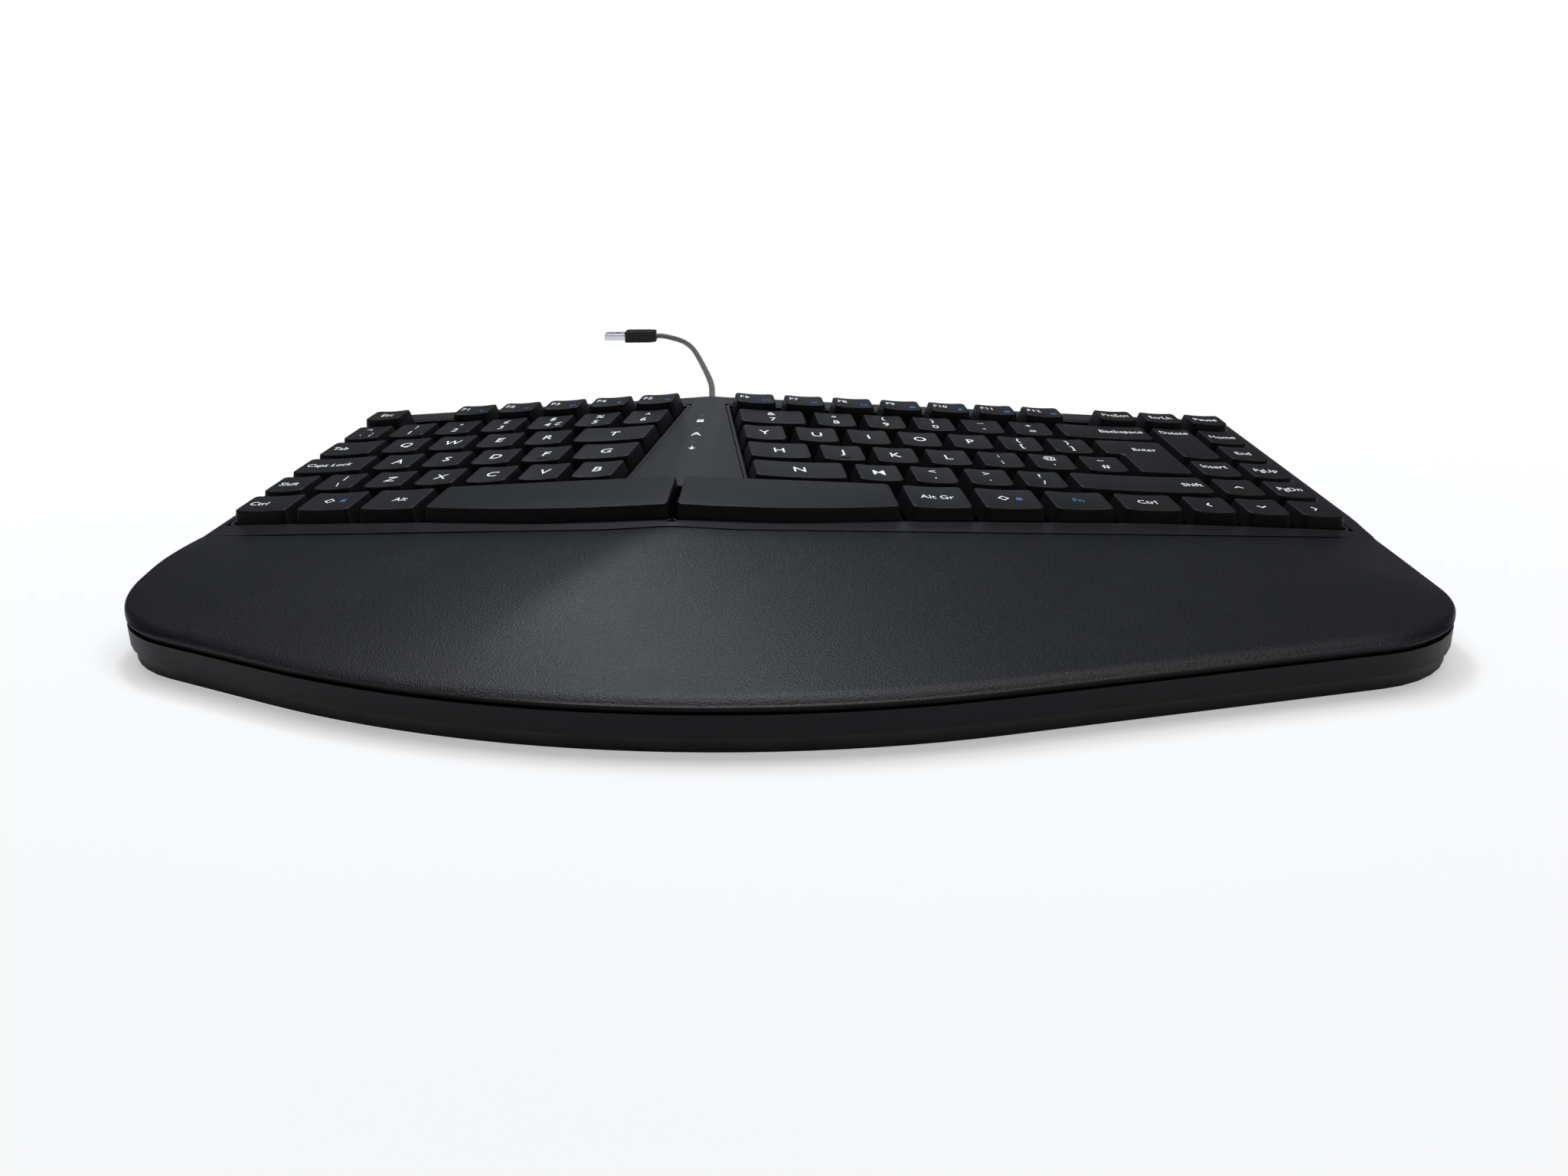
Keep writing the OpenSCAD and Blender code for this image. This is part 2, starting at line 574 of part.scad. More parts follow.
module key_frames() color("#1c1d1f") {
    hole = stem_w + 2*stem_gap;
    outer = hole + 2*guide_wall;
    for (side = [-1, 1]) on_half(side) translate([0, 0, h_under]) {
        linear_extrude(frame_t) difference() {
            polygon(well(side, well_margin + tray_wall, split_gap, h_stack));
            for (g = guides(side)) translate(g) square(hole, center = true);
        }
        linear_extrude(h_guide - h_under) for (g = guides(side)) translate(g) difference() {
            square(outer, center = true);
            square(hole, center = true);
        }
    }
    intersection() {
        for (side = [-1, 1]) on_half(side) translate([0, 0, h_sheet]) linear_extrude(h_roof - h_sheet)
            difference() {
                polygon(well(side, well_margin + tray_wall, split_gap, h_stack));
                polygon(well(side, well_margin, split_gap - 1, h_stack));
            }
        below(h_roof - fit);
    }
}
dome_r = 4.5;
module dome_sheets() color("#8f959c") for (side = [-1, 1]) on_half(side) {
    tray(side, h_film, h_sheet);
    for (p = stems(side)) translate([p[0], p[1], h_sheet - 0.2])
        cylinder(r1 = dome_r, r2 = 3, h = dome_h + 0.2);
}
module membranes() color("#c9c3a4") for (side = [-1, 1]) on_half(side) tray(side, h_plate, h_film);
module backing_plates() color("#9a9c9e") for (side = [-1, 1]) on_half(side) tray(side, h_stack, h_plate);

// Controller under the panel between the key fields
board_w = 60;
board_l = 36;
board_t = 1.6;
board_z = 12;
board_c = [split_x, split_y + 47];
board_post_r = 2.4;
module at_board_posts() for (x = [-1, 1]) for (y = [-1, 1])
    translate([board_c[0] + x*(board_w/2 - 4), board_c[1] + y*(board_l/2 - 4), 0]) children();
module controller_board() color("#2f6b45") translate([board_c[0], board_c[1], board_z]) {
    translate([-board_w/2, -board_l/2, 0]) cube([board_w, board_l, board_t]);
    translate([-7, -8, board_t - 0.1]) cube([12, 12, 1.6]);
    translate([-5, board_l/2 - 8, board_t - 0.1]) cube([10, 6, 5]);
    for (s = [-1, 1]) translate([s*20 - 6, -board_l/2 + 2, board_t - 0.1]) cube([12, 4, 3]);
}
module indicator_lenses() color("#5d6268") at_lenses(0) {
    translate([0, 0, crest_roof - lens_flange]) cylinder(r = lens_r + 0.7, h = lens_flange - 0.3);
    translate([0, 0, crest_roof - lens_flange]) cylinder(r = lens_r, h = crest_deck - crest_roof + lens_flange);
}

pads = [[-158, split_y + 98], [158, split_y + 98], [-150, split_y - 45], [150, split_y - 45],
        [-60, split_y - 98], [50, split_y - 98]];
pad_seat = 0.6;
module rubber_pads() color("#3b3b3b") for (p = pads) translate([p[0], p[1], 0])
    cylinder(r = pad_r, h = pad_h + pad_seat);

// Folding feet under the rear, hinged at their front edge
foot_x = 112;
foot_y = split_y + 78;
foot_t = 3.2;
foot_under = 2;
foot_side_gap = 0.4;
foot_barrel_r = 2.2;
foot_pin_l = 2;
foot_wall = 3.5;
z_hinge = z_plinth + 2.4;
foot_roof = z_hinge + foot_barrel_r + 0.4;
foot_room = foot_barrel_r + 0.5;
module at_foot(side) translate([side*foot_x, foot_y, z_hinge]) children();
module across(r, l) rotate([0, 90, 0]) cylinder(r = r, h = l, center = true);
module foot(side) color("#242527") at_foot(side) {
    translate([-foot_w/2, 0, -foot_under]) cube([foot_w, foot_l, foot_t]);
    across(foot_barrel_r, foot_w);
    across(foot_pin_r, foot_w + 2*foot_pin_l);
}
module foot_left() foot(-1);
module foot_right() foot(1);

// Lead outlet low in the rear wall, at the crest
z_outlet = (z_band + z_lip)/2;
outlet_y = split_y + rear_y0 + apex_r*(1/cos(rear_a) - 1);
boot_r = 2.6;
boot_l = 12;
boot_seat = 5;
module along_y(y0, y1, r) translate([split_x, y0, z_outlet]) rotate([-90, 0, 0]) cylinder(r = r, h = y1 - y0);
module strain_relief() color("#202123") difference() {
    union() {
        along_y(outlet_y - 7, outlet_y + boot_l, boot_r);
        along_y(outlet_y - 7, outlet_y - 5.3, boot_r + 1.6);
    }
    along_y(outlet_y + boot_l - boot_seat, outlet_y + boot_l + 1, cord_d/2 + 0.1);
}

posts = [[-150, split_y + 45], [-75, split_y + 30], [-78, split_y + 96],
         [150, split_y + 45], [60, split_y + 30], [30, split_y + 92]];
post_w = 6;
module bottom_case() color("#1f2022") difference() {
    union() {
        difference() {
            union() {
                slab(outline(plinth_in), z_plinth, z_lip);
                slab(outline(0), z_band, z_lip);
                slab(outline(groove_in), z_band, z_case);
            }
            slab(outline(plinth_wall), z_floor, z_case + 1);
            slab(outline(band_wall), z_band + step_h, z_case + 1);
        }
        intersection() {
            for (p = posts) translate([p[0] - post_w/2, p[1] - post_w/2, z_floor - 0.5])
                cube([post_w, post_w, 60]);
            below(h_stack);
        }
        at_board_posts() translate([0, 0, z_floor - 0.5])
            cylinder(r = board_post_r, h = board_z - z_floor + 0.5);
        for (side = [-1, 1]) at_foot(side)
            translate([-foot_w/2 - foot_side_gap - foot_wall, -foot_room - wall, z_floor - z_hinge - 0.5])
            cube([foot_w + 2*(foot_side_gap + foot_wall), foot_l + 0.6 + foot_room + 2*wall,
                  foot_roof + floor_t - z_floor + 0.5]);
    }
    for (side = [-1, 1]) at_foot(side) {
        translate([-foot_w/2 - foot_side_gap, -foot_room, -z_hinge])
            cube([foot_w + 2*foot_side_gap, foot_l + 0.6 + foot_room, foot_roof]);
        across(foot_pin_r + pin_gap, foot_w + 2*foot_pin_l + 1);
    }
    for (p = pads) translate([p[0], p[1], 0]) cylinder(r = pad_r + fit, h = pad_h + pad_seat);
    at_bosses(concat(case_bosses, palm_bosses)) {
        pilot();
        translate([0, 0, -floor_t - 1]) cylinder(r = screw_head_r + 0.3, h = screw_head_h + 1);
    }
    along_y(outlet_y - 20, outlet_y + 5, boot_r + fit);
}
module case_screws() color("#8a8d90") at_bosses(concat(case_bosses, palm_bosses)) {
    translate([0, 0, -floor_t]) cylinder(r = screw_head_r, h = screw_head_h);
    translate([0, 0, -floor_t]) cylinder(r = screw_r, h = floor_t + screw_l - 1);
}

// The lead runs to a coil behind the case, and from the coil to the plug.
// Route points are chosen by hand on the desk.
coil_turns = 4;
coil_out = 28.4;
coil_step = 4.1;
coil_c = [-66.4, 165];
coil_z = cord_d/2 + tie_t + 0.1;
coil_x = coil_c[0] + coil_out;
stub = cord_d;
function unit(v) = v/norm(v);
function spline_pt(a, b, c, d, t) =
    0.5*(2*b + (c - a)*t + (2*a - 5*b + 4*c - d)*t*t + (3*b - a - 3*c + d)*t*t*t);
function spline(p, n) =
    let (m = len(p) - 1)
    concat([for (i = [0:m - 1]) for (k = [0:n - 1])
        spline_pt(p[max(0, i - 1)], p[i], p[i + 1], p[min(m, i + 2)], k/n)], [p[m]]);
function tube_rings(path, r, n) =
    let (m = len(path) - 1)
    [for (i = [0:m])
        let (t = unit(path[min(m, i + 1)] - path[max(0, i - 1)]))
        let (s = unit(cross(t, [0, 0, 1])))
        let (u = cross(s, t))
        [for (k = [0:n - 1]) path[i] + r*(cos(360*k/n + 180/n)*u + sin(360*k/n + 180/n)*s)]];
function run_length(p) = [for (i = [1:len(p) - 1]) norm(p[i] - p[i - 1])]*[for (i = [1:len(p) - 1]) 1];
lead_path = concat(
    [[split_x, outlet_y + boot_l - boot_seat + 0.3, z_outlet]],
    spline([[split_x, outlet_y + boot_l, z_outlet], [split_x, outlet_y + boot_l + 6, z_outlet],
            [-35, 122, 6], [-36.5, 135, 3.2], [-37.8, 148, coil_z], [coil_x, 157, coil_z]], 3),
    [[coil_x, coil_c[1] - stub, coil_z]]
);
function coil_pt(t) =
    let (r = coil_out - coil_step*(coil_turns - abs(coil_turns - t)))
    let (z = coil_z + coil_step*ease((t - coil_turns + 0.25)*2))
    [coil_c[0] + r*cos(360*t), coil_c[1] + r*sin(360*t), z];
coil_path = concat(
    [[coil_x, coil_c[1] - stub, coil_z]],
    [for (i = [0:48*coil_turns]) coil_pt(i/24)],
    [[coil_x, coil_c[1] + stub, coil_z + coil_step]]
);
plug_p = [-115, 541.5];
plug_z = 3.75;
tail_path = concat(
    [[coil_x, coil_c[1] + stub, coil_z + coil_step]],
    spline([[coil_x, coil_c[1] + 2*stub, coil_z + coil_step], [-38.5, 182, 5], [-40, 198, 2.6],
            [-42, 216, 1.8], [-46.4, 258, 1.8], [-53.1, 316.5, 1.8], [-58.1, 362.5, 1.8], [-68.6, 422.5, 1.8],
            [-80.6, 483.5, 1.8], [-88, 511.5, 1.8], [-94, 527.5, 1.8], [-100, 536.5, 2.2],
            [-107, 540.9, 3.2], [plug_p[0] + 4, plug_p[1], plug_z]], 4),
    [[plug_p[0] - 4, plug_p[1], plug_z]]
);
self_gap = min([for (i = [0:len(coil_path) - 22]) for (j = [i + 21:len(coil_path) - 1])
    norm(coil_path[i] - coil_path[j])]) - cord_d;
cord_length = run_length(lead_path) + run_length(coil_path) + run_length(tail_path);
echo(coil_self_gap = self_gap, cord_length = cord_length);
module usb_cord() color("#4a4a4a") {
    loft(tube_rings(lead_path, cord_d/2, 8));
    loft(tube_rings(tail_path, cord_d/2, 8));
}
module cord_coil() color("#4a4a4a") loft(tube_rings(coil_path, cord_d/2, 6));
tie_room = 0.3;
coil_in = coil_out - coil_step*coil_turns;
module coil_tie() color("#1b1b1b") {
    x0 = coil_c[0] - coil_out - cord_d/2 - tie_room;
    x1 = coil_c[0] - coil_in + cord_d/2 + tie_room;
    z1 = coil_z + coil_step + cord_d/2 + tie_room;
    difference() {
        translate([x0 - tie_t, coil_c[1] - tie_w/2, 0]) cube([x1 - x0 + 2*tie_t, tie_w, z1 + tie_t]);
        translate([x0, coil_c[1] - tie_w, tie_t]) cube([x1 - x0, 2*tie_w, z1 - tie_t]);
    }
}
plug_w = 15;
plug_h = 7.5;
shell_w = 12;
shell_h = 4.5;
shell_t = 0.4;
shell_l = 18;
shell_in = 3;
module plug_body() color("#202123") translate([plug_p[0], plug_p[1], 0]) {
    difference() {
        linear_extrude(plug_h) polygon([[0, -plug_w/2 + 3], [0, plug_w/2 - 3], [-4, plug_w/2],
            [1 - plug_l, plug_w/2], [-plug_l, plug_w/2 - 1], [-plug_l, 1 - plug_w/2], [1 - plug_l, -plug_w/2],
            [-4, -plug_w/2]]);
        translate([-plug_l - 1, -shell_w/2 - fit, plug_z - shell_h/2 - fit])
            cube([shell_in + 1, shell_w + 2*fit, shell_h + 2*fit]);
        translate([-5, 0, plug_z]) rotate([0, 90, 0]) cylinder(r = cord_d/2 + 0.1, h = 10);
    }
    translate([-plug_l - shell_l + shell_in + 2, -5.4, plug_z - 0.2]) cube([shell_l - 1.5, 10.8, 1.8]);
}
module plug_shell() color("#c3c6c8") translate([plug_p[0] - plug_l + shell_in, plug_p[1], plug_z])
    rotate([0, -90, 0]) linear_extrude(shell_l) difference() {
        square([shell_h, shell_w], center = true);
        square([shell_h - 2*shell_t, shell_w - 2*shell_t], center = true);
    }

bottom_case();
top_case();
palm_rest();
key_frames();
dome_sheets();
membranes();
backing_plates();
controller_board();
indicator_lenses();
strain_relief();
usb_cord();
cord_coil();
coil_tie();
plug_body();
plug_shell();
foot_left();
foot_right();
rubber_pads();
case_screws();
for (n = KEY_NODES) key_node(n);
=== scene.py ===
"""Dresses the compact ergonomic keyboard: keycaps with legends, mouldings, lead and studio."""
import math

import bmesh
import bpy
from mathutils import Matrix, Vector


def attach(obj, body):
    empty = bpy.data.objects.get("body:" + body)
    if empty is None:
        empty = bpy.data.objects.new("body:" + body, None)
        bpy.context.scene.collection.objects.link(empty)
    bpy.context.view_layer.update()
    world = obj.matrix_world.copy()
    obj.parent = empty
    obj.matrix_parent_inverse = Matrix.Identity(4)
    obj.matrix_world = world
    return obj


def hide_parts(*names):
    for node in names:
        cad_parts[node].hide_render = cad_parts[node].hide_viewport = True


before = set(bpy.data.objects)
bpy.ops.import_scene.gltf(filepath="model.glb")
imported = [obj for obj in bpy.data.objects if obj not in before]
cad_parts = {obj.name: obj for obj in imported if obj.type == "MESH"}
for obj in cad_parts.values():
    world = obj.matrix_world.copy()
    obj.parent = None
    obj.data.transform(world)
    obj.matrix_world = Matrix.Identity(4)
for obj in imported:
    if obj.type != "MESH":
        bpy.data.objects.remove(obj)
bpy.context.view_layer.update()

MM = 0.001
SCENE = bpy.context.scene

# Stance of the two key fields and levels on them, in mm and degrees, as in the part's source
HALF_YAW, HALF_TENT, CREST_TILT, CREST_H = 8.7, 5.75, 5.0, 42.0
KEY_PITCH, KEY_GAP, KEY_DEPTH, FUNCTION_DEPTH = 19.05, 4.45, 15.0, 11.5
FUNCTION_RAISE, INNER_EDGE = 1.6, 24.3
CAP_H, CAP_FLARE, CAP_DISH, CAP_WALL = 5.8, 1.25, 0.45, 1.5
H_DECK, H_STEM, H_CEILING, STEM_W = -4.2, -10.2, -1.5, 5.0
THUMB_PITCH, THUMB_GAP, THUMB_REACH, THUMB_SWEEP, THUMB_FLAT = 24.2, 4.2, 18.0, 11.0, 155.0
SPACE_GAP, SPACE_BOW = 1.5, 2.3
WELL_MARGIN, WELL_FRONT, WELL_INNER, WELL_SPLIT = CAP_FLARE + 1.5, 0.4, 0.8, -0.5
LEFT_MARGIN, RIGHT_MARGIN, REAR_MARGIN = 6.0, 9.5, 12.8
LEFT_SPAN, RIGHT_SPAN = 7, 127 / 12
WIDE_KEY = 1.9 * KEY_PITCH

# Plan outline, palm rest and bottom case
FRONT_REACH, FRONT_R, FRONT_LEFT, FRONT_RIGHT, FRONT_X = 121.0, 281.0, 25.5, 15.8, 16.9
CORNER_R, REAR_R, BEND_R, APEX_R = 42.0, 8.0, 80.0, 60.0
SEAM_Y, SEAM_A, SEAM_R, SEAM_GAP = -38.7, 12.4, 120.0, 0.3
EDGE_R, WALL, TOP_T, CREST_R = 1.2, 2.0, 2.5, 80.0
LEFT_OUT, RIGHT_IN = 4, 3.8
RIM_H, RIM_RUN, PALM_IN, Z_CASE, PLINTH_H = 15.8, 75.0, 10.0, 13.5, 4.5

# Lead, its boot and plug
CORD_D, CORD_LENGTH = 3.5, 1.476
Z_OUTLET, BOOT_L, BOOT_R, BOOT_SEAT, CORD_IN = 8.6, 12.0, 2.6, 5.0, 0.3
COIL_C, COIL_OUT, COIL_STEP, COIL_TURNS, TURN_STEPS = (-66.4, 165.0), 28.4, 4.1, 4, 40
COIL_Z = CORD_D / 2 + 0.9
DESK_Z = 1.8
PLUG_X, PLUG_Y, PLUG_Z, PLUG_L = -115.0, 541.5, 3.75, 22.0
SHELL_IN, SHELL_L, SHELL_W, SHELL_H, SHELL_T = 3.0, 18.0, 12.0, 4.5, 0.4

# Folding feet
FOOT_X, FOOT_Y, FOOT_L, FOOT_W, Z_HINGE = 112.0, 78.0, 18.0, 34.0, 3.4

# Photograph's viewpoint, measured from the crest point
CAMERA_AT = (50.0904, -407.7468, 104.4223)
CAMERA_RIGHT = (0.99917329, 0.03847971, -0.01311695)
CAMERA_UP = (-0.00050338, 0.33433446, 0.94245436)
IMAGE_W, FOCAL_PX, SENSOR_W = 2048, 1695.0, 36.0


def sind(a): return math.sin(math.radians(a))
def cosd(a): return math.cos(math.radians(a))
def tand(a): return math.tan(math.radians(a))
def lerp(a, b, t): return a + (b - a) * t
def ease(t): return 0.5 - 0.5 * math.cos(math.pi * min(1.0, max(0.0, t)))


# Key fields

def turn_matrix(angle, axis):
    return Matrix.Rotation(math.radians(angle), 4, axis)


HALF_TURN = turn_matrix(CREST_TILT, "X") @ turn_matrix(HALF_TENT, "Y") @ turn_matrix(HALF_YAW, "Z")


def turned(p):
    """Half frame (outwards, back, normal) to the crest frame, right half."""
    return HALF_TURN @ Vector(p)


BACK, OUT, NORMAL = turned((0, 1, 0)), turned((1, 0, 0)), turned((0, 0, 1))
REAR_EDGE = 4 * KEY_PITCH + FUNCTION_DEPTH


def outer_edge(side):
    return INNER_EDGE + KEY_PITCH * (LEFT_SPAN if side < 0 else RIGHT_SPAN) - KEY_GAP


def thumb_front(u):
    """Front edge of the thumb row, which sweeps forwards towards the split."""
    return -THUMB_REACH - THUMB_SWEEP * max(0.0, 1 - u / THUMB_FLAT)


def at_split(v, x0):
    """Outward reach, at depth v, of an upright plane that stands x0 beside the split."""
    return (x0 + v * sind(HALF_YAW) * cosd(HALF_TENT)) / (cosd(HALF_YAW) * cosd(HALF_TENT))


def front_corner_u(x0, extra):
    """Outward reach at which that plane meets the thumb row's front, moved forwards by extra."""
    c, s = cosd(HALF_YAW) * cosd(HALF_TENT), sind(HALF_YAW) * cosd(HALF_TENT)
    reach = x0 - (THUMB_REACH + THUMB_SWEEP + extra) * s
    return reach / (c - THUMB_SWEEP / THUMB_FLAT * s)


# Rows from the front one back, keys from the split outwards, with their spans in pitches
LEFT_ROWS = [
    [("b", 1), ("v", 1), ("c", 1), ("x", 1), ("z", 1), ("backslash", 1), ("shift_left", 1)],
    [("g", 4 / 3), ("f", 1), ("d", 1), ("s", 1), ("a", 1), ("caps", 5 / 3)],
    [("t", 5 / 3), ("r", 1), ("e", 1), ("w", 1), ("q", 1), ("tab", 4 / 3)],
    [("6", 1), ("5", 1), ("4", 1), ("3", 1), ("2", 1), ("1", 1), ("grave", 1)],
    [("f5", 1), ("f4", 1), ("f3", 1), ("f2", 1), ("f1", 1), ("", 1), ("esc", 1)],
]
RIGHT_ROWS = [
    [("n", 11 / 6), ("m", 1), ("comma", 1), ("dot", 1), ("slash", 1), ("shift_right", 11 / 4),
     ("up", 1), ("pgdn", 1)],
    [("h", 4 / 3), ("j", 1), ("k", 1), ("l", 1), ("semicolon", 1), ("quote", 1), ("hash", 1),
     ("", 5 / 4), ("insert", 1), ("pgup", 1)],
    [("y", 1), ("u", 1), ("i", 1), ("o", 1), ("p", 1), ("lbracket", 1), ("rbracket", 1),
     ("enter", 19 / 12), ("", 1), ("end", 1)],
    [("7", 3 / 2), ("8", 1), ("9", 1), ("0", 1), ("minus", 1), ("equals", 1),
     ("backspace", 25 / 12), ("delete", 1), ("home", 1)],
    [("f6", 1), ("f7", 1), ("f8", 1), ("f9", 1), ("f10", 1), ("f11", 1), ("f12", 1), ("", 7 / 12),
     ("prtscn", 1), ("scrlk", 1), ("pause", 1)],
]
KEY_GROUPS = {
    "function_keys_left": ["esc", "f1", "f2", "f3", "f4", "f5"],
    "function_keys_right": ["f6", "f7", "f8", "f9", "f10", "f11", "f12"],
    "system_keys": ["prtscn", "scrlk", "pause"],
    "number_keys_left": ["grave", "1", "2", "3", "4", "5", "6"],
    "number_keys_right": ["7", "8", "9", "0", "minus", "equals"],
    "punctuation_keys": ["lbracket", "rbracket", "semicolon", "quote", "hash",
                         "comma", "dot", "slash"],
    "edge_keys_left": ["tab", "caps", "backslash", "ctrl_left", "system_left", "alt"],
    "modifier_keys_right": ["altgr", "system_right", "fn", "ctrl_right"],
    "navigation_keys": ["delete", "home", "end", "insert", "pgup", "pgdn",
                        "up", "left", "down", "right"],
    "enter_key": ["enter"],
}
GROUP_OF = {key: group for group, keys in KEY_GROUPS.items() for key in keys}


class Key:
    """One key: half, raise, and the corners of its top face, anticlockwise from the inner front."""

    def __init__(self, name, side, corners, rise=0.0):
        self.name, self.side, self.rise = name, side, rise
        self.corners = [Vector(c) for c in corners]
        self.node = GROUP_OF.get(name, "key_" + name)
        self.space = name.startswith("space")
        self.stepped = len(self.corners) == 6
        self.dish = 0.0 if self.stepped or self.space else CAP_DISH
        us = [c.x for c in self.corners]
        self.middle = sum(self.corners, Vector((0, 0))) / len(self.corners)
        self.width, self.u_mid = max(us) - min(us), (max(us) + min(us)) / 2

    def stems(self):
        """Middles of the stems: three under a wide key, one in each arm of the stepped one."""
        near_u, far_u = self.corners[0].x, self.corners[1].x
        if self.stepped:
            step_u = self.corners[3].x
            return [((near_u + far_u) / 2, KEY_PITCH * 1.5 + 0.5),
                    ((step_u + far_u) / 2, KEY_PITCH * 2 + KEY_DEPTH / 2)]
        shifts = (-1, 0, 1) if self.width > WIDE_KEY else (0,)
        return [(self.middle.x + k * (far_u - near_u) / 3, self.middle.y) for k in shifts]

    def top(self, u, grow=0.0):
        """Height of the dished top face at u."""
        t = (u - self.u_mid) / (self.width / 2 + grow)
        return self.rise - self.dish * max(0.0, 1 - t * t)


def box_corners(u0, u1, v0, v1):
    return [(u0, v0), (u1, v0), (u1, v1), (u0, v1)]


def row_keys(rows, side):
    function_row = len(rows) - 1
    for r, row in enumerate(rows):
        u, high = INNER_EDGE, r == function_row
        for name, span in row:
            u0, u1 = u, u + KEY_PITCH * span - KEY_GAP
            v0 = KEY_PITCH * (r - 1 if name == "delete" else r)
            v1 = KEY_PITCH * r + (FUNCTION_DEPTH if high else KEY_DEPTH)
            corners = box_corners(u0, u1, v0, v1)
            if name == "enter":
                foot = INNER_EDGE + KEY_PITCH * 22 / 3
                corners = [(foot, KEY_PITCH), (u1, KEY_PITCH), (u1, v1),
                           (u0, v1), (u0, v0), (foot, v0)]
            if name:
                yield Key(name, side, corners, FUNCTION_RAISE if high else 0.0)
            u += KEY_PITCH * span


def thumb_corners(u0, u1):
    return [(u0, thumb_front(u0)), (u1, thumb_front(u1)), (u1, -THUMB_GAP), (u0, -THUMB_GAP)]


def thumb_keys(names, side, last):
    for i, name in enumerate(names):
        u1 = last - THUMB_PITCH * (len(names) - 1 - i)
        yield Key(name, side, thumb_corners(u1 - THUMB_PITCH + KEY_GAP, u1))


def space_key(name, side, out):
    u0 = front_corner_u(SPACE_GAP, 0)
    return Key(name, side, [(u0, thumb_front(u0)), (out, thumb_front(out)), (out, -THUMB_GAP),
                            (at_split(-THUMB_GAP, SPACE_GAP), -THUMB_GAP)])


def all_keys():
    arrows = INNER_EDGE + KEY_PITCH * (RIGHT_SPAN - 3)
    left_last, right_last = outer_edge(-1), arrows - KEY_GAP
    keys = list(row_keys(LEFT_ROWS, -1)) + list(row_keys(RIGHT_ROWS, 1))
    keys += thumb_keys(["alt", "system_left", "ctrl_left"], -1, left_last)
    keys += thumb_keys(["altgr", "system_right", "fn", "ctrl_right"], 1, right_last)
    for i, name in enumerate(["left", "down", "right"]):
        u0, u1 = arrows + KEY_PITCH * i, arrows + KEY_PITCH * (i + 1) - KEY_GAP
        keys.append(Key(name, 1, thumb_corners(u0, u1)))
    keys += [space_key("space_left", -1, left_last - 3 * THUMB_PITCH),
             space_key("space_right", 1, right_last - 4 * THUMB_PITCH)]
    return keys


# Plan outline, a polygon with rounded corners around the crest point

FLARE_A = math.degrees(math.atan2(-BACK.x, BACK.y))
REAR_A = math.degrees(math.atan2(OUT.y, OUT.x))
_rear = turned((0, REAR_EDGE + REAR_MARGIN, H_DECK))
REAR_Y0 = _rear.y - _rear.x * tand(REAR_A)


def side_at_crest(side):
    p = turned((outer_edge(side) + (LEFT_MARGIN if side < 0 else RIGHT_MARGIN), 0, H_DECK))
    return p.x - BACK.x * p.y / BACK.y


LEFT_X, RIGHT_X = side_at_crest(-1) + LEFT_OUT, side_at_crest(1) - RIGHT_IN
FRONT_C = (FRONT_X, FRONT_R - FRONT_REACH)


def rear_corner(side):
    u = (side_at_crest(side) - tand(FLARE_A) * REAR_Y0) / (1 + tand(FLARE_A) * tand(REAR_A))
    return (side * u, REAR_Y0 + u * tand(REAR_A))


def front_side(x, a):
    """Point at x on the line that leaves the front arc at the angle a."""
    return (x, FRONT_C[1] + ((x - FRONT_C[0]) * sind(a) - FRONT_R) / cosd(a))


def front_vertex():
    mid = 270 + (FRONT_RIGHT - FRONT_LEFT) / 2
    reach = FRONT_R / cosd((FRONT_LEFT + FRONT_RIGHT) / 2)
    return (FRONT_C[0] + reach * cosd(mid), FRONT_C[1] + reach * sind(mid))


BODY_CORNERS = [
    (rear_corner(-1), REAR_R, 16),
    ((-LEFT_X, (side_at_crest(-1) - LEFT_X) / tand(FLARE_A)), BEND_R, 8),
    (front_side(-LEFT_X, -FRONT_LEFT), CORNER_R, 32),
    (front_vertex(), FRONT_R, 96),
    (front_side(RIGHT_X, FRONT_RIGHT), CORNER_R, 32),
    ((RIGHT_X, (side_at_crest(1) - RIGHT_X) / tand(FLARE_A)), BEND_R, 8),
    (rear_corner(1), REAR_R, 16),
    ((0, REAR_Y0), APEX_R, 24),
]


def bend_points(centre, bend, start, turn, steps):
    """Points of a bend that is entered along the angle start and turns by turn."""
    angles = [start + turn * k / steps for k in range(steps + 1)]
    return [centre + bend * Vector((math.sin(a), -math.cos(a))) for a in angles]


def rounded_path(corners, inset=0.0):
    """Points round a polygon given as (corner, radius, steps), moved in by inset."""
    points, n = [], len(corners)
    for i, (_, radius, steps) in enumerate(corners):
        p, q, r = (Vector(corners[(i + k) % n][0]) for k in (-1, 0, 1))
        a = math.atan2(q.y - p.y, q.x - p.x)
        b = math.atan2(r.y - q.y, r.x - q.x)
        t = (b - a + math.pi) % (2 * math.pi) - math.pi
        inward = Vector((-math.sin(a), math.cos(a)))
        vertex = q + inset * (inward + Vector((-math.sin(b), math.cos(b)))) / (1 + math.cos(t))
        bend = math.copysign(radius, t) - inset
        along = Vector((math.cos(a), math.sin(a)))
        centre = vertex - bend * math.tan(t / 2) * along + bend * inward
        points += bend_points(centre, bend, a, t, steps)
    return points


SPLIT_X = -(RIGHT_X - LEFT_X) / 2
SPLIT_Y = -(max(p.y for p in rounded_path(BODY_CORNERS)) - FRONT_REACH) / 2
CREST = Vector((SPLIT_X, SPLIT_Y, CREST_H))
OUTLET_Y = SPLIT_Y + REAR_Y0 + APEX_R * (1 / cosd(REAR_A) - 1)


def half_matrix(side):
    """Half frame in mm to the part's frame in metres."""
    flip = Matrix.Diagonal((side, 1, 1, 1))
    return Matrix.Scale(MM, 4) @ Matrix.Translation(CREST) @ flip @ HALF_TURN


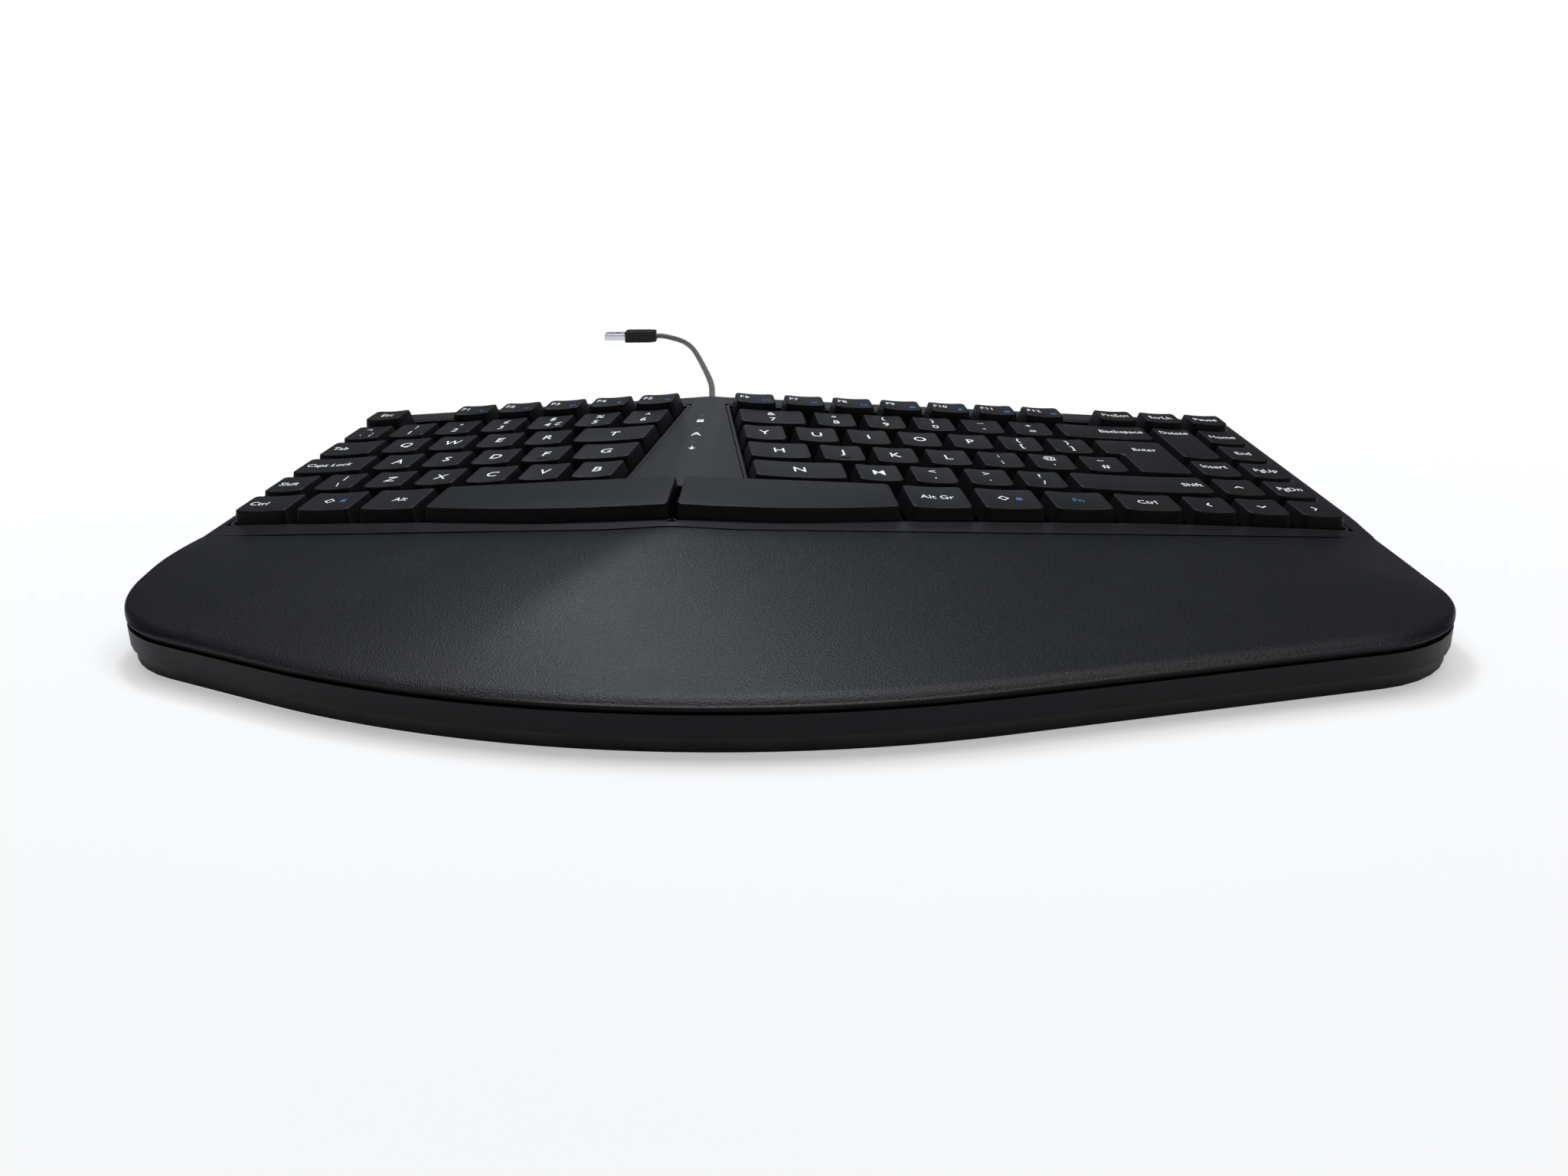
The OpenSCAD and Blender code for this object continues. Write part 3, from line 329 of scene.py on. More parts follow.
def outline(inset):
    shift = Vector((SPLIT_X, SPLIT_Y))
    return [p + shift for p in rounded_path(BODY_CORNERS, inset)]


# Shader graphs

class Value:
    """A shader socket; arithmetic on it adds Math nodes."""

    def __init__(self, graph, socket):
        self.graph, self.socket = graph, socket

    def _math(self, operation, a, b):
        return self.graph.node("ShaderNodeMath", {"operation": operation}, {0: a, 1: b})

    def __add__(self, other): return self._math("ADD", self, other)
    def __radd__(self, other): return self._math("ADD", other, self)
    def __sub__(self, other): return self._math("SUBTRACT", self, other)
    def __rsub__(self, other): return self._math("SUBTRACT", other, self)
    def __mul__(self, other): return self._math("MULTIPLY", self, other)
    def __rmul__(self, other): return self._math("MULTIPLY", other, self)


class Graph:
    """Node tree of a material or world."""

    def __init__(self, tree):
        self.tree = tree
        tree.nodes.clear()

    def node(self, kind, settings=None, inputs=None, output=0):
        made = self.tree.nodes.new(kind)
        for name, value in (settings or {}).items():
            setattr(made, name, value)
        for name, value in (inputs or {}).items():
            if isinstance(value, Value):
                self.tree.links.new(value.socket, made.inputs[name])
            else:
                made.inputs[name].default_value = value
        return Value(self, made.outputs[output]) if len(made.outputs) else made

    def place(self):
        return self.node("ShaderNodeTexCoord", output="Object")

    def noise(self, scale, detail=2.0, roughness=0.5):
        return self.node("ShaderNodeTexNoise", {}, {"Vector": self.place(), "Scale": scale,
                                                    "Detail": detail, "Roughness": roughness})

    def ramp(self, value, low, high):
        return self.node("ShaderNodeMapRange", {"interpolation_type": "SMOOTHSTEP"},
                         {"Value": value, "From Min": low, "From Max": high})

    def mix(self, factor, a, b):
        return self.node("ShaderNodeMix", {"data_type": "RGBA"}, {0: factor, 6: a, 7: b}, output=2)


def rgba(colour, k=1.0):
    return (colour[0] * k, colour[1] * k, colour[2] * k, 1)


PATCH_SCALE, PATCH_SHARE, PATCH_GLOSS, GRAIN_GLOSS, BUMP_STRENGTH = 70.0, 0.7, 0.06, 0.12, 0.9


def surface(name, colour, rough, grain=2400.0, depth=0.06, mottle=0.12, metal=0.0, specular=0.5):
    """Moulded or finished surface: mottled colour, uneven gloss and a fine grain in its normal."""
    material = bpy.data.materials.new(name)
    material.use_nodes = True
    g = Graph(material.node_tree)
    patch = g.noise(PATCH_SCALE, 3.0)
    fine = g.noise(grain, 2.0, 0.6)
    tint = g.mix(patch * PATCH_SHARE + fine * (1 - PATCH_SHARE),
                 rgba(colour, 1 - mottle), rgba(colour, 1 + mottle))
    gloss = rough + (patch - 0.5) * PATCH_GLOSS + (fine - 0.5) * GRAIN_GLOSS
    bump = g.node("ShaderNodeBump", {}, {"Strength": BUMP_STRENGTH, "Distance": depth * MM,
                                         "Height": fine})
    shader = g.node("ShaderNodeBsdfPrincipled", {}, {
        "Base Color": tint, "Roughness": gloss, "Normal": bump,
        "Metallic": metal, "Specular IOR Level": specular})
    g.node("ShaderNodeOutputMaterial", {}, {"Surface": shader})
    return material


MATERIALS = {
    "palm": surface("palm_plastic", (0.0042, 0.0046, 0.0062), 0.39, 1800, 0.18, specular=0.19),
    "case": surface("case_plastic", (0.0044, 0.0047, 0.006), 0.4, 1900, 0.08, specular=0.32),
    "base": surface("base_plastic", (0.0042, 0.0047, 0.0064), 0.5, 1900, 0.06, specular=0.19),
    # Plinth: the same plastic as base, painted lighter and given a stronger specular level, as
    # painted light for the floor's bounce and a dark line under the band
    "plinth": surface("plinth_plastic", (0.006, 0.0066, 0.0084), 0.5, 1900, 0.06, specular=0.38),
    "keycap": surface("keycap_plastic", (0.0046, 0.0048, 0.0056), 0.46, 1900, 0.07, specular=0.2),
    "lip": surface("lip_plastic", (0.0065, 0.007, 0.0085), 0.42, 1900, 0.04, specular=0.4),
    "frame": surface("well_plastic", (0.002, 0.0021, 0.0025), 0.6, specular=0.12),
    "dome": surface("dome_rubber", (0.28, 0.3, 0.32), 0.6),
    "film": surface("membrane_film", (0.5, 0.47, 0.36), 0.35),
    "steel": surface("plate_steel", (0.4, 0.41, 0.42), 0.4, 900, metal=1.0),
    "board": surface("board_mask", (0.03, 0.13, 0.06), 0.4),
    "lens": surface("lens_smoke", (0.006, 0.0065, 0.007), 0.18, depth=0.01),
    "cord": surface("cord_jacket", (0.085, 0.085, 0.08), 0.5, 1800, 0.03),
    "bright": surface("bright_metal", (0.62, 0.63, 0.65), 0.27, 1500, 0.01, metal=1.0),
    "rubber": surface("rubber", (0.012, 0.012, 0.013), 0.82, 1400, 0.08, specular=0.3),
    "strap": surface("strap_loop", (0.006, 0.006, 0.0065), 0.9, 1100, 0.25, specular=0.1),
    "white_ink": surface("white_ink", (0.93, 0.94, 0.95), 0.55, depth=0.01, mottle=0.04),
    "blue_ink": surface("blue_ink", (0.022, 0.17, 0.42), 0.55, depth=0.01, mottle=0.08),
}


# Mesh making

def add_piece(name, mesh, body, materials, nodes=(), sharp=35.0):
    """Links a mesh as a piece on a body, with its finish and the nodes that it stands for."""
    for m in materials:
        mesh.materials.append(MATERIALS[m])
    mesh.polygons.foreach_set("use_smooth", [True] * len(mesh.polygons))
    mesh.set_sharp_from_angle(angle=math.radians(sharp))
    piece = bpy.data.objects.new(name, mesh)
    SCENE.collection.objects.link(piece)
    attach(piece, body)
    if nodes:
        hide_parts(*nodes)
    return piece


def mesh_from(name, bm):
    """Mesh of a closed bmesh, with its faces turned outwards."""
    bmesh.ops.recalc_face_normals(bm, faces=bm.faces)
    mesh = bpy.data.meshes.new(name)
    bm.to_mesh(mesh)
    bm.free()
    return mesh


def loft(bm, rings, lid=None, closed=False):
    """Faces through rings of equal length, closed by lids of index strips or by one face each."""
    rows = [[bm.verts.new(p) for p in ring] for ring in rings]
    n = len(rows[0])
    for a, b in list(zip(rows, rows[1:])) + ([(rows[-1], rows[0])] if closed else []):
        for i in range(n):
            j = (i + 1) % n
            bm.faces.new((a[i], a[j], b[j], b[i]))
    if closed:
        return
    for row, back in ((rows[0], True), (rows[-1], False)):
        for strip in lid or [list(range(n))]:
            face = [row[i] for i in strip]
            bm.faces.new(face[::-1] if back else face)


def moved_corners(corners, grow):
    """Polygon with each side moved out by its own amount."""
    n, out = len(corners), []
    for i, q in enumerate(corners):
        p, r = corners[i - 1], corners[(i + 1) % n]
        a, b = (q - p).normalized(), (r - q).normalized()
        na, nb = Vector((a.y, -a.x)), Vector((b.y, -b.x))
        ga, gb = grow[i - 1], grow[i]
        k = na.x * nb.y - na.y * nb.x
        out.append(q + Vector((ga * nb.y - gb * na.y, na.x * gb - nb.x * ga)) / k)
    return out


CORNER_STEPS = 5
SIDE_STEPS = (12, 2)


def soft_ring(corners, grow, radius, bow=0.0):
    """Ring round a polygon with rounded corners and a bowed first side.

    The first side and every second one after it carry more points.
    """
    moved = moved_corners(corners, grow)
    n, points, arcs = len(moved), [], []
    for i, q in enumerate(moved):
        a = (q - moved[i - 1]).normalized()
        b = (moved[(i + 1) % n] - q).normalized()
        t = math.atan2(a.x * b.y - a.y * b.x, a.dot(b))
        bend = math.copysign(radius, t)
        inward = Vector((-a.y, a.x))
        centre = q - bend * math.tan(t / 2) * a + bend * inward
        arcs.append(bend_points(centre, bend, math.atan2(a.y, a.x), t, CORNER_STEPS))
    for i, arc in enumerate(arcs):
        nxt = arcs[(i + 1) % n][0]
        steps, run = SIDE_STEPS[i % 2], (nxt - arc[-1]).normalized()
        swell = Vector((run.y, -run.x)) * (0.0 if i else bow)
        points += arc
        points += [lerp(arc[-1], nxt, k / steps) + swell * (1 - (2 * k / steps - 1) ** 2)
                   for k in range(1, steps)]
    return points


def four_corner_lid():
    """Index strips over a four-cornered ring: from its front to its back, and one at each end."""
    chain = range(SIDE_STEPS[0] + 2 * CORNER_STEPS + 1)
    first, half = chain[0], chain[-1] + SIDE_STEPS[1]
    front, back = list(chain), [2 * half - SIDE_STEPS[1] - k for k in chain]
    strips = [[front[i], front[i + 1], back[i + 1], back[i]] for i in chain[:-1]]
    ends = [list(range(back[0], 2 * half)) + [first], list(range(front[-1], back[-1] + 1))]
    return strips + ends


def soft_block(bm, block, radius, levels, place):
    """Block with rounded upright edges; levels are (growth, height) from its foot to its top."""
    corners = [Vector(c) for c in box_corners(*block)]
    loft(bm, [[place(p, w) for p in soft_ring(corners, [grow] * 4, radius)] for grow, w in levels])


def in_part(p, z):
    """Point of the part's frame, in metres, over a plan point in mm."""
    return Vector((p.x, p.y, z)) * MM


# Keycaps

TOP_FILLET, FILLET_IN, FILLET_ANGLES = 0.5, 0.8, (0, 25, 50, 72, 90)
CAP_CORNER_R, CORNER_TIGHTER, DISH_MARGIN = 1.9, 0.35, 0.2
SKIRT_SOFT, SKIRT_SOFT_H, SKIRT_THIN, SPLIT_FLARE = 0.15, 0.2, 0.9, 0.2
INSIDE_TOP_R, INSIDE_LOW_R, STEM_R, STEM_IN = 0.8, 1.0, 0.5, 0.3
HOMING_KEYS, HOMING_W, HOMING_FRONT, HOMING_BACK, HOMING_R = ("f", "j"), 2.1, 5.2, 4.5, 0.3
HOMING_LEVELS = ((0.1, -0.2), (0.1, 0.1), (0.0, 0.22))


def cap_rings(key):
    """Rings of a hollow cap from its ceiling, down inside, and up outside to its top face."""
    z, n = key.rise, len(key.corners)
    skirt = [CAP_FLARE] * 3 + [SPLIT_FLARE] if key.space else [CAP_FLARE] * n
    rings = []

    def add(grow, radius, w, dished=False):
        ring = soft_ring(key.corners, grow, radius, SPACE_BOW if key.space else 0.0)
        rings.append([(p.x, p.y, w + (key.top(p.x, DISH_MARGIN) - z if dished else 0.0))
                      for p in ring])

    add([-CAP_WALL] * n, INSIDE_TOP_R, H_CEILING + z)
    add([s - SKIRT_THIN * CAP_WALL for s in skirt], INSIDE_LOW_R, -CAP_H)
    add([s - SKIRT_SOFT for s in skirt], CAP_CORNER_R, -CAP_H)
    add(skirt, CAP_CORNER_R + SKIRT_SOFT, -CAP_H + SKIRT_SOFT_H)
    for a in FILLET_ANGLES:
        w = z - TOP_FILLET * (1 - sind(a))
        share = (z - w) / (CAP_H + z)
        grow = [s * share - TOP_FILLET * FILLET_IN * (1 - cosd(a)) for s in skirt]
        add(grow, CAP_CORNER_R - CORNER_TIGHTER * a / 90, w, True)
    return rings


def add_cap(bm, key):
    """A key's cap, its stems, and the bar that marks a homing key."""
    matrix = half_matrix(key.side)
    rings = [[matrix @ Vector(p) for p in ring] for ring in cap_rings(key)]
    loft(bm, rings, None if key.stepped else four_corner_lid())
    half = STEM_W / 2
    for u, v in key.stems():
        soft_block(bm, (u - half, u + half, v - half, v + half), STEM_R,
                   ((0, H_STEM), (0, H_CEILING + key.rise + STEM_IN)),
                   lambda p, w: matrix @ Vector((p.x, p.y, w)))
    if key.name in HOMING_KEYS:
        u, v = key.u_mid, key.middle.y
        soft_block(bm, (u - HOMING_W, u + HOMING_W, v - HOMING_FRONT, v - HOMING_BACK), HOMING_R,
                   HOMING_LEVELS, lambda p, w: matrix @ Vector((p.x, p.y, w + key.top(p.x))))


# Legends

UPPER, LOWER = 3.4, -3.0
LETTER_H, DIGIT_H, SIGN_H, WORD_H, SMALL_H = 4.3, 3.6, 3.3, 2.95, 2.7
LOW_SIGNS = dict.fromkeys("',.~", 3.2)
PAIRS = {digit: (sign, digit) for digit, sign in zip("1234567890", '!"£$%^&*()')}
PAIRS.update({
    "minus": ("_", "-"), "equals": ("+", "="), "lbracket": ("{", "["), "rbracket": ("}", "]"),
    "semicolon": (":", ";"), "quote": ("@", "'"), "hash": ("~", "#"), "backslash": ("|", "\\"),
    "comma": ("<", ","), "dot": (">", "."), "slash": ("?", "/"),
})
# Word, the side of the cap it keeps to, and its depth there
WORDS = {
    "esc": ("Esc", "centre", 0), "tab": ("Tab", "left", 0), "caps": ("Caps Lock", "left", 0),
    "shift_left": ("Shift", "left", 0), "ctrl_left": ("Ctrl", "left", 0),
    "alt": ("Alt", "centre", 0), "altgr": ("Alt Gr", "centre", 0),
    "ctrl_right": ("Ctrl", "centre", 0.5), "shift_right": ("Shift", "right", 0),
    "backspace": ("Backspace", "right", 1.0), "enter": ("Enter", "right", 11.0),
    "delete": ("Delete", "centre", 12.0), "insert": ("Insert", "centre", 2.0),
    "home": ("Home", "centre", 0), "end": ("End", "centre", 0),
    "pgup": ("PgUp", "centre", 0), "pgdn": ("PgDn", "centre", 0),
    "prtscn": ("PrtScn", "centre", 0), "scrlk": ("ScrLk", "centre", 0),
    "pause": ("Pause", "centre", 0),
}
WORD_SHIFT = {"enter": -3.0, "alt": 1.0}
WORD_LEFT, WORD_RIGHT = 2.4, 1.8
CHEVRONS = {"up": 90, "left": 180, "down": 270, "right": 0}
WHITE, BLUE = 0, 1
INK_T, INK_BOLD = 0.05, 0.005
CAP_RATIO = 1.0


def evaluated_mesh(holder):
    """Mesh of an object as its modifiers or its text leave it."""
    bpy.context.view_layer.update()
    depsgraph = bpy.context.evaluated_depsgraph_get()
    return bpy.data.meshes.new_from_object(holder.evaluated_get(depsgraph))


def text_shapes(text, height, side="centre"):
    """Outline mesh of a text, in mm, centred on or ending at the origin: points and faces."""
    curve = bpy.data.curves.new("legend_text", "FONT")
    curve.body, curve.size, curve.offset, curve.resolution_u = text, 1.0, INK_BOLD, 3
    holder = bpy.data.objects.new("legend_text", curve)
    SCENE.collection.objects.link(holder)
    mesh = evaluated_mesh(holder)
    scale = height / CAP_RATIO
    points = [(v.co.x * scale, v.co.y * scale) for v in mesh.vertices]
    faces = [tuple(p.vertices) for p in mesh.polygons]
    bpy.data.objects.remove(holder)
    bpy.data.curves.remove(curve)
    bpy.data.meshes.remove(mesh)
    xs, ys = [p[0] for p in points], [p[1] for p in points]
    x0 = {"centre": (min(xs) + max(xs)) / 2, "left": min(xs), "right": max(xs)}[side]
    y0 = height / 2 if len(text) > 1 else (min(ys) + max(ys)) / 2
    return [(x - x0, y - y0) for x, y in points], faces


# Height of a capital in a text of size 1, measured while the ratio is still 1
_capital = [y for _, y in text_shapes("H", 1.0)[0]]
CAP_RATIO = max(_capital) - min(_capital)


def chevron(angle, arm=1.7, stroke=0.62):
    """Open arrow head, turned by angle."""
    tip, c = arm * 0.55, stroke * 0.7
    back = tip - arm * 0.8
    raw = [(tip, 0.0), (back, arm), (back - c, arm - c * 0.5), (tip - 2 * c * 0.95, 0.0),
           (back - c, -arm + c * 0.5), (back, -arm)]
    points = [(x * cosd(angle) - y * sind(angle), x * sind(angle) + y * cosd(angle))
              for x, y in raw]
    return points, [(0, 1, 2, 3), (0, 3, 4, 5)]


def polygon_shape(*loops):
    points, faces = [], []
    for loop in loops:
        faces.append(tuple(range(len(points), len(points) + len(loop))))
        points += loop
    return points, faces


def rect(x0, x1, y0, y1):
    return [(x0, y0), (x1, y0), (x1, y1), (x0, y1)]


def diamond_shape(r=2.0, stroke=0.65):
    outer = [(r, 0), (0, r), (-r, 0), (0, -r)]
    inner = [(x * (1 - stroke / r), y * (1 - stroke / r)) for x, y in outer]
    return outer + inner, [(i, (i + 1) % 4, (i + 1) % 4 + 4, i + 4) for i in range(4)]


def padlock_shape():
    return polygon_shape(rect(-1.0, 1.0, -1.2, 0.3), rect(-0.75, -0.4, 0.3, 0.9),
                         rect(0.4, 0.75, 0.3, 0.9), rect(-0.75, 0.75, 0.9, 1.25))


def triangle(x, way):
    """Play mark that points to the right (1) or to the left (-1)."""
    foot, tip = x - 0.6 * way, x + 0.6 * way
    loop = [(foot, -0.7), (tip, 0.0), (foot, 0.7)]
    return loop if way > 0 else [loop[0], loop[2], loop[1]]


SPEAKER = [rect(-1.2, -0.7, -0.35, 0.35), [(-0.7, -0.35), (0.0, -0.9), (0.0, 0.9), (-0.7, 0.35)]]
FUNCTION_ICONS = {
    "f1": SPEAKER + [rect(0.45, 0.75, -0.5, 0.5)],
    "f2": SPEAKER + [rect(0.4, 1.3, -0.15, 0.15)],
    "f3": SPEAKER + [rect(0.4, 1.3, -0.15, 0.15), rect(0.7, 1.0, 0.15, 0.6),
                     rect(0.7, 1.0, -0.6, -0.15)],
    "f4": [rect(-0.7, 0.7, -0.7, 0.7)],
    "f5": [triangle(-0.3, -1.0), triangle(0.9, -1.0)],
    "f6": [triangle(-0.9, 1.0), rect(0.2, 0.5, -0.7, 0.7), rect(0.8, 1.1, -0.7, 0.7)],
    "f7": [triangle(-0.9, 1.0), triangle(0.3, 1.0)],
    "f8": [rect(-1.2, 1.2, -0.8, -0.5), rect(-1.2, 1.2, 0.5, 0.8),
           rect(-1.2, -0.9, -0.5, 0.5), rect(0.9, 1.2, -0.5, 0.5)],
    "f9": [rect(-1.2, 1.2, -0.8, 0.1), [(-1.2, 0.25), (1.2, 0.25), (0.0, 0.95)]],
    "f10": [[(0.9 * cosd(a), 0.9 * sind(a)) for a in range(0, 360, 30)]],
    "f11": [rect(-1.1, -0.1, -0.8, 0.0), rect(0.1, 1.1, -0.8, 0.0), rect(-1.1, 1.1, 0.2, 0.8)],
    "f12": [rect(-1.1, 1.1, -0.8, -0.4), rect(-1.1, 1.1, -0.2, 0.2), rect(-1.1, 1.1, 0.4, 0.8)],
}


def key_marks(key):
    """Legends of a key as (shape, x, y, ink): x to the right and y to the back of its middle."""
    name, half = key.name, key.width / 2
    if name in WORDS:
        text, place, y = WORDS[name]
        x = {"centre": 0.0, "left": -half + WORD_LEFT, "right": half - WORD_RIGHT}[place]
        return [(text_shapes(text, WORD_H, place), x + WORD_SHIFT.get(name, 0.0), y, WHITE)]
    if name in PAIRS:
        upper, lower = PAIRS[name]
        marks = [(text_shapes(upper, LOW_SIGNS.get(upper, SIGN_H)), 0, UPPER, WHITE),
                 (text_shapes(lower, LOW_SIGNS.get(lower, DIGIT_H)), 0, LOWER, WHITE)]
        return marks + ([(text_shapes("€", SIGN_H), 4.0, LOWER, WHITE)] if name == "4" else [])
    if name == "grave":
        return [(text_shapes(sign, SIGN_H), x, y, WHITE)
                for sign, x, y in (("¬", -1.5, UPPER), ("`", -2.2, LOWER), ("¦", 2.4, LOWER))]
    if name in FUNCTION_ICONS:
        return [(text_shapes(name.upper(), SMALL_H, "left"), -half + 1.6, 1.1, WHITE),
                (polygon_shape(*FUNCTION_ICONS[name]), half - 3.2, -2.2, BLUE)]
    if name in CHEVRONS:
        return [(chevron(CHEVRONS[name]), 0, 0, WHITE)]
    if name == "fn":
        return [(text_shapes("Fn", WORD_H), 0, 0.5, BLUE)]
    if name.startswith("system"):
        return [(diamond_shape(), -1.6, 0.5, WHITE), (padlock_shape(), 3.6, 0.3, BLUE)]
    return [(text_shapes(name.upper(), LETTER_H), 0, 0, WHITE)] if len(name) == 1 else []


def add_ink(bm, shape, place, ink):
    """Thin printed layer; place gives the point of the surface under a shape's point."""
    points, faces = shape
    low = [bm.verts.new(place(x, y, -INK_T / 2)) for x, y in points]
    high = [bm.verts.new(place(x, y, INK_T / 2)) for x, y in points]
    sides = {}
    for face in faces:
        for side in zip(face, face[1:] + face[:1]):
            sides[side] = True
        bm.faces.new([high[i] for i in face]).material_index = ink
        bm.faces.new([low[i] for i in reversed(face)]).material_index = ink
    for a, b in sides:
        if (b, a) not in sides:
            bm.faces.new((low[a], low[b], high[b], high[a])).material_index = ink


def on_cap(key, x, y):
    """Takes a point of a legend that stands at x, y to the key's top face."""
    matrix = half_matrix(key.side)
    mid_v = KEY_PITCH * 1.7 if key.stepped else key.middle.y

    def place(px, py, w):
        u = key.u_mid + key.side * (x + px)
        return matrix @ Vector((u, mid_v + y + py, key.top(u, DISH_MARGIN) + w))
    return place


def key_pieces():
    """One mesh of caps and one of legends for each key node."""
    by_node = {}
    for key in all_keys():
        by_node.setdefault(key.node, []).append(key)
    for node, keys in by_node.items():
        caps, inks = bmesh.new(), bmesh.new()
        for key in keys:
            add_cap(caps, key)
            for shape, x, y, ink in key_marks(key):
                add_ink(inks, shape, on_cap(key, x, y), ink)
        name = "caps_" + node
        add_piece(name, mesh_from(name, caps), node, ["keycap"], [node], 40)
        if len(inks.verts):
            name = "legends_" + node
            add_piece(name, mesh_from(name, inks), node, ["white_ink", "blue_ink"])
        else:
            inks.free()


# Marks beside the indicator windows

LENS_X, LENS_Y, MARK_BEFORE, MARK_SCALE, MARK_H = -1.0, (44, 60, 76), 6.2, 1.3, 3.0


def on_crest(y):
    """Takes a point of a mark to the rounded crest, in front of the window at y."""
    matrix = Matrix.Scale(MM, 4) @ Matrix.Translation(CREST) @ turn_matrix(CREST_TILT, "X")
    top = (H_DECK - CREST_R) / cosd(HALF_TENT)

    def place(px, py, w):
        x = LENS_X + MARK_SCALE * px
        z = top + math.sqrt(CREST_R ** 2 - x ** 2) + w
        return matrix @ Vector((x, y - MARK_BEFORE + MARK_SCALE * py, z))
    return place


def indicator_marks():
    """An arrow, a letter and a padlock, printed on the crest in front of the three windows."""
    bm = bmesh.new()
    arrow = polygon_shape(rect(-0.22, 0.22, 0.0, 1.4), [(-1.0, 0.0), (0.0, -1.4), (1.0, 0.0)])
    for y, shape in zip(LENS_Y, (arrow, text_shapes("A", MARK_H), padlock_shape())):
        add_ink(bm, shape, on_crest(y), WHITE)
    mesh = mesh_from("indicator_marks", bm)
    add_piece("indicator_marks", mesh, "base", ["white_ink"])


# Palm rest

SEAM_C = Vector((SPLIT_X, SPLIT_Y + SEAM_Y + SEAM_R / cosd(SEAM_A)))


def seam_at(x):
    """Where the seam line runs at x, front to back."""
    dx = abs(x - SPLIT_X)
    reach = SEAM_R * sind(SEAM_A)
    if dx > reach:
        return SEAM_C.y - SEAM_R * cosd(SEAM_A) + (dx - reach) * tand(SEAM_A)
    return SEAM_C.y - math.sqrt(SEAM_R ** 2 - dx ** 2)


def plane_z(p, h):
    """Height over p of a half's plane at the level h."""
    return CREST_H + (h - NORMAL.x * abs(p.x - SPLIT_X) - NORMAL.y * (p.y - SPLIT_Y)) / NORMAL.z


def crown(p):
    """How far the rounded crest lies under the two planes' edge at p."""
    d = CREST_R * sind(HALF_TENT) - abs(p.x - SPLIT_X)
    return 0.0 if d < 0 else d * d / (2 * CREST_R)


END_STEPS = 12


def palm_outer(inset, gap):
    """Outer edge of the palm rest, from its left seam end to its right one."""
    def past(p): return p.y - seam_at(p.x) + gap
    def crossing(p, q): return lerp(p, q, past(p) / (past(p) - past(q)))
    pts = outline(inset)
    front = [i for i, p in enumerate(pts) if past(p) < -1]
    a, b = crossing(pts[front[0] - 1], pts[front[0]]), crossing(pts[front[-1]], pts[front[-1] + 1])
    first, last = pts[front[0]], pts[front[-1]]
    inner = [first]
    for i in front[1:]:
        start = inner[-1]
        steps = 1 if (pts[i] - start).length < 4 else 4
        inner += [lerp(start, pts[i], k / steps) for k in range(1, steps + 1)]
    n = END_STEPS
    return ([lerp(a, first, k / n) for k in range(n)] + inner
            + [lerp(last, b, k / n) for k in range(1, n + 1)])


PALM_EDGE = palm_outer(0, 0)
PALM_LEFT, PALM_RIGHT = PALM_EDGE[0], PALM_EDGE[-1]
ROLL_STEPS, ROLL_R, ROLL_A, ROLL_FROM, ROLL_RUN = 10, 12.0, 38.0, -58.0, 44.0
FALL_STEPS, FALL_STRAIGHT, FALL_CURVED = 20, 0.45, 0.55
SEAM_EDGE, SEAM_SOFT, ROLL_FOOT = 0.6, 0.25, 0.25


def rim_z(p):
    """Height of the palm rest's rim, which falls from the deck at the seam to the front."""
    end = PALM_LEFT if p.x < 0 else PALM_RIGHT
    return lerp(max(RIM_H, plane_z(end, H_DECK)), RIM_H, ease((end.y - p.y) / RIM_RUN))


def palm_section(f, t, gap, drop, z0):
    """One section of the palm rest: up from z0 at the seam, over its top and down the edge at f."""
    x = lerp(PALM_LEFT.x + PALM_IN, PALM_RIGHT.x - PALM_IN, 0.7 * t + 0.3 * ease(t))
    b = Vector((x, seam_at(x) - gap))
    run = (b - f).normalized()
    zb, ze = plane_z(b, H_DECK) - crown(b) - drop, rim_z(f) - drop
    front = ease((ROLL_FROM - f.y) / ROLL_RUN)
    radius, last = lerp(EDGE_R, ROLL_R, front), lerp(90.0, ROLL_A, front)
    end_slope = (FALL_STRAIGHT + 2 * FALL_CURVED) * (zb - ze) / (b - f).length
    first = math.degrees(math.atan(max(0.0, end_slope)))
    e = f + run * radius * (sind(last) - sind(first))
    points = [(b.x, b.y, z0), (b.x, b.y, zb - SEAM_EDGE)]
    for k in range(FALL_STEPS + 1):
        s = k / FALL_STEPS
        p = lerp(b, e, s)
        fall = (zb - ze) * (FALL_STRAIGHT * s + FALL_CURVED * s * s)
        points.append((p.x, p.y, zb - fall - (0.0 if k else SEAM_SOFT)))
    for k in range(1, ROLL_STEPS + 1):
        a = lerp(first, last, k / ROLL_STEPS)
        p = e - run * radius * (sind(a) - sind(first))
        points.append((p.x, p.y, max(z0 + ROLL_FOOT, ze - radius * (cosd(first) - cosd(a)))))
    return points + [(f.x, f.y, z0)]


def palm_piece():
    """Palm rest: a shell through its sections, from the left seam end round to the right one."""
    outer, inner = palm_outer(0, SEAM_GAP), palm_outer(WALL, SEAM_GAP + WALL)
    n, m, rings = len(outer) - 1, len(inner) - 1, []
    for i, f in enumerate(outer):
        t = i / n
        g = inner[min(m, round(t * m))]
        outside = palm_section(f, t, SEAM_GAP, 0.0, Z_CASE)
        inside = palm_section(g, t, SEAM_GAP + WALL, TOP_T, Z_CASE)
        rings.append([Vector(p) * MM for p in outside + inside[::-1]])
    bm = bmesh.new()
    loft(bm, rings)
    mesh = mesh_from("palm_rest_shell", bm)
    add_piece("palm_rest_shell", mesh, "base", ["palm"], ["palm_rest"], 50)


# Mouldings that keep their CAD form with softened edges

BEVEL_ANGLE, FLAT_ANGLE, SAME_PLACE, SAME_LEVEL = 28.0, 0.4, 1e-6, 1e-5


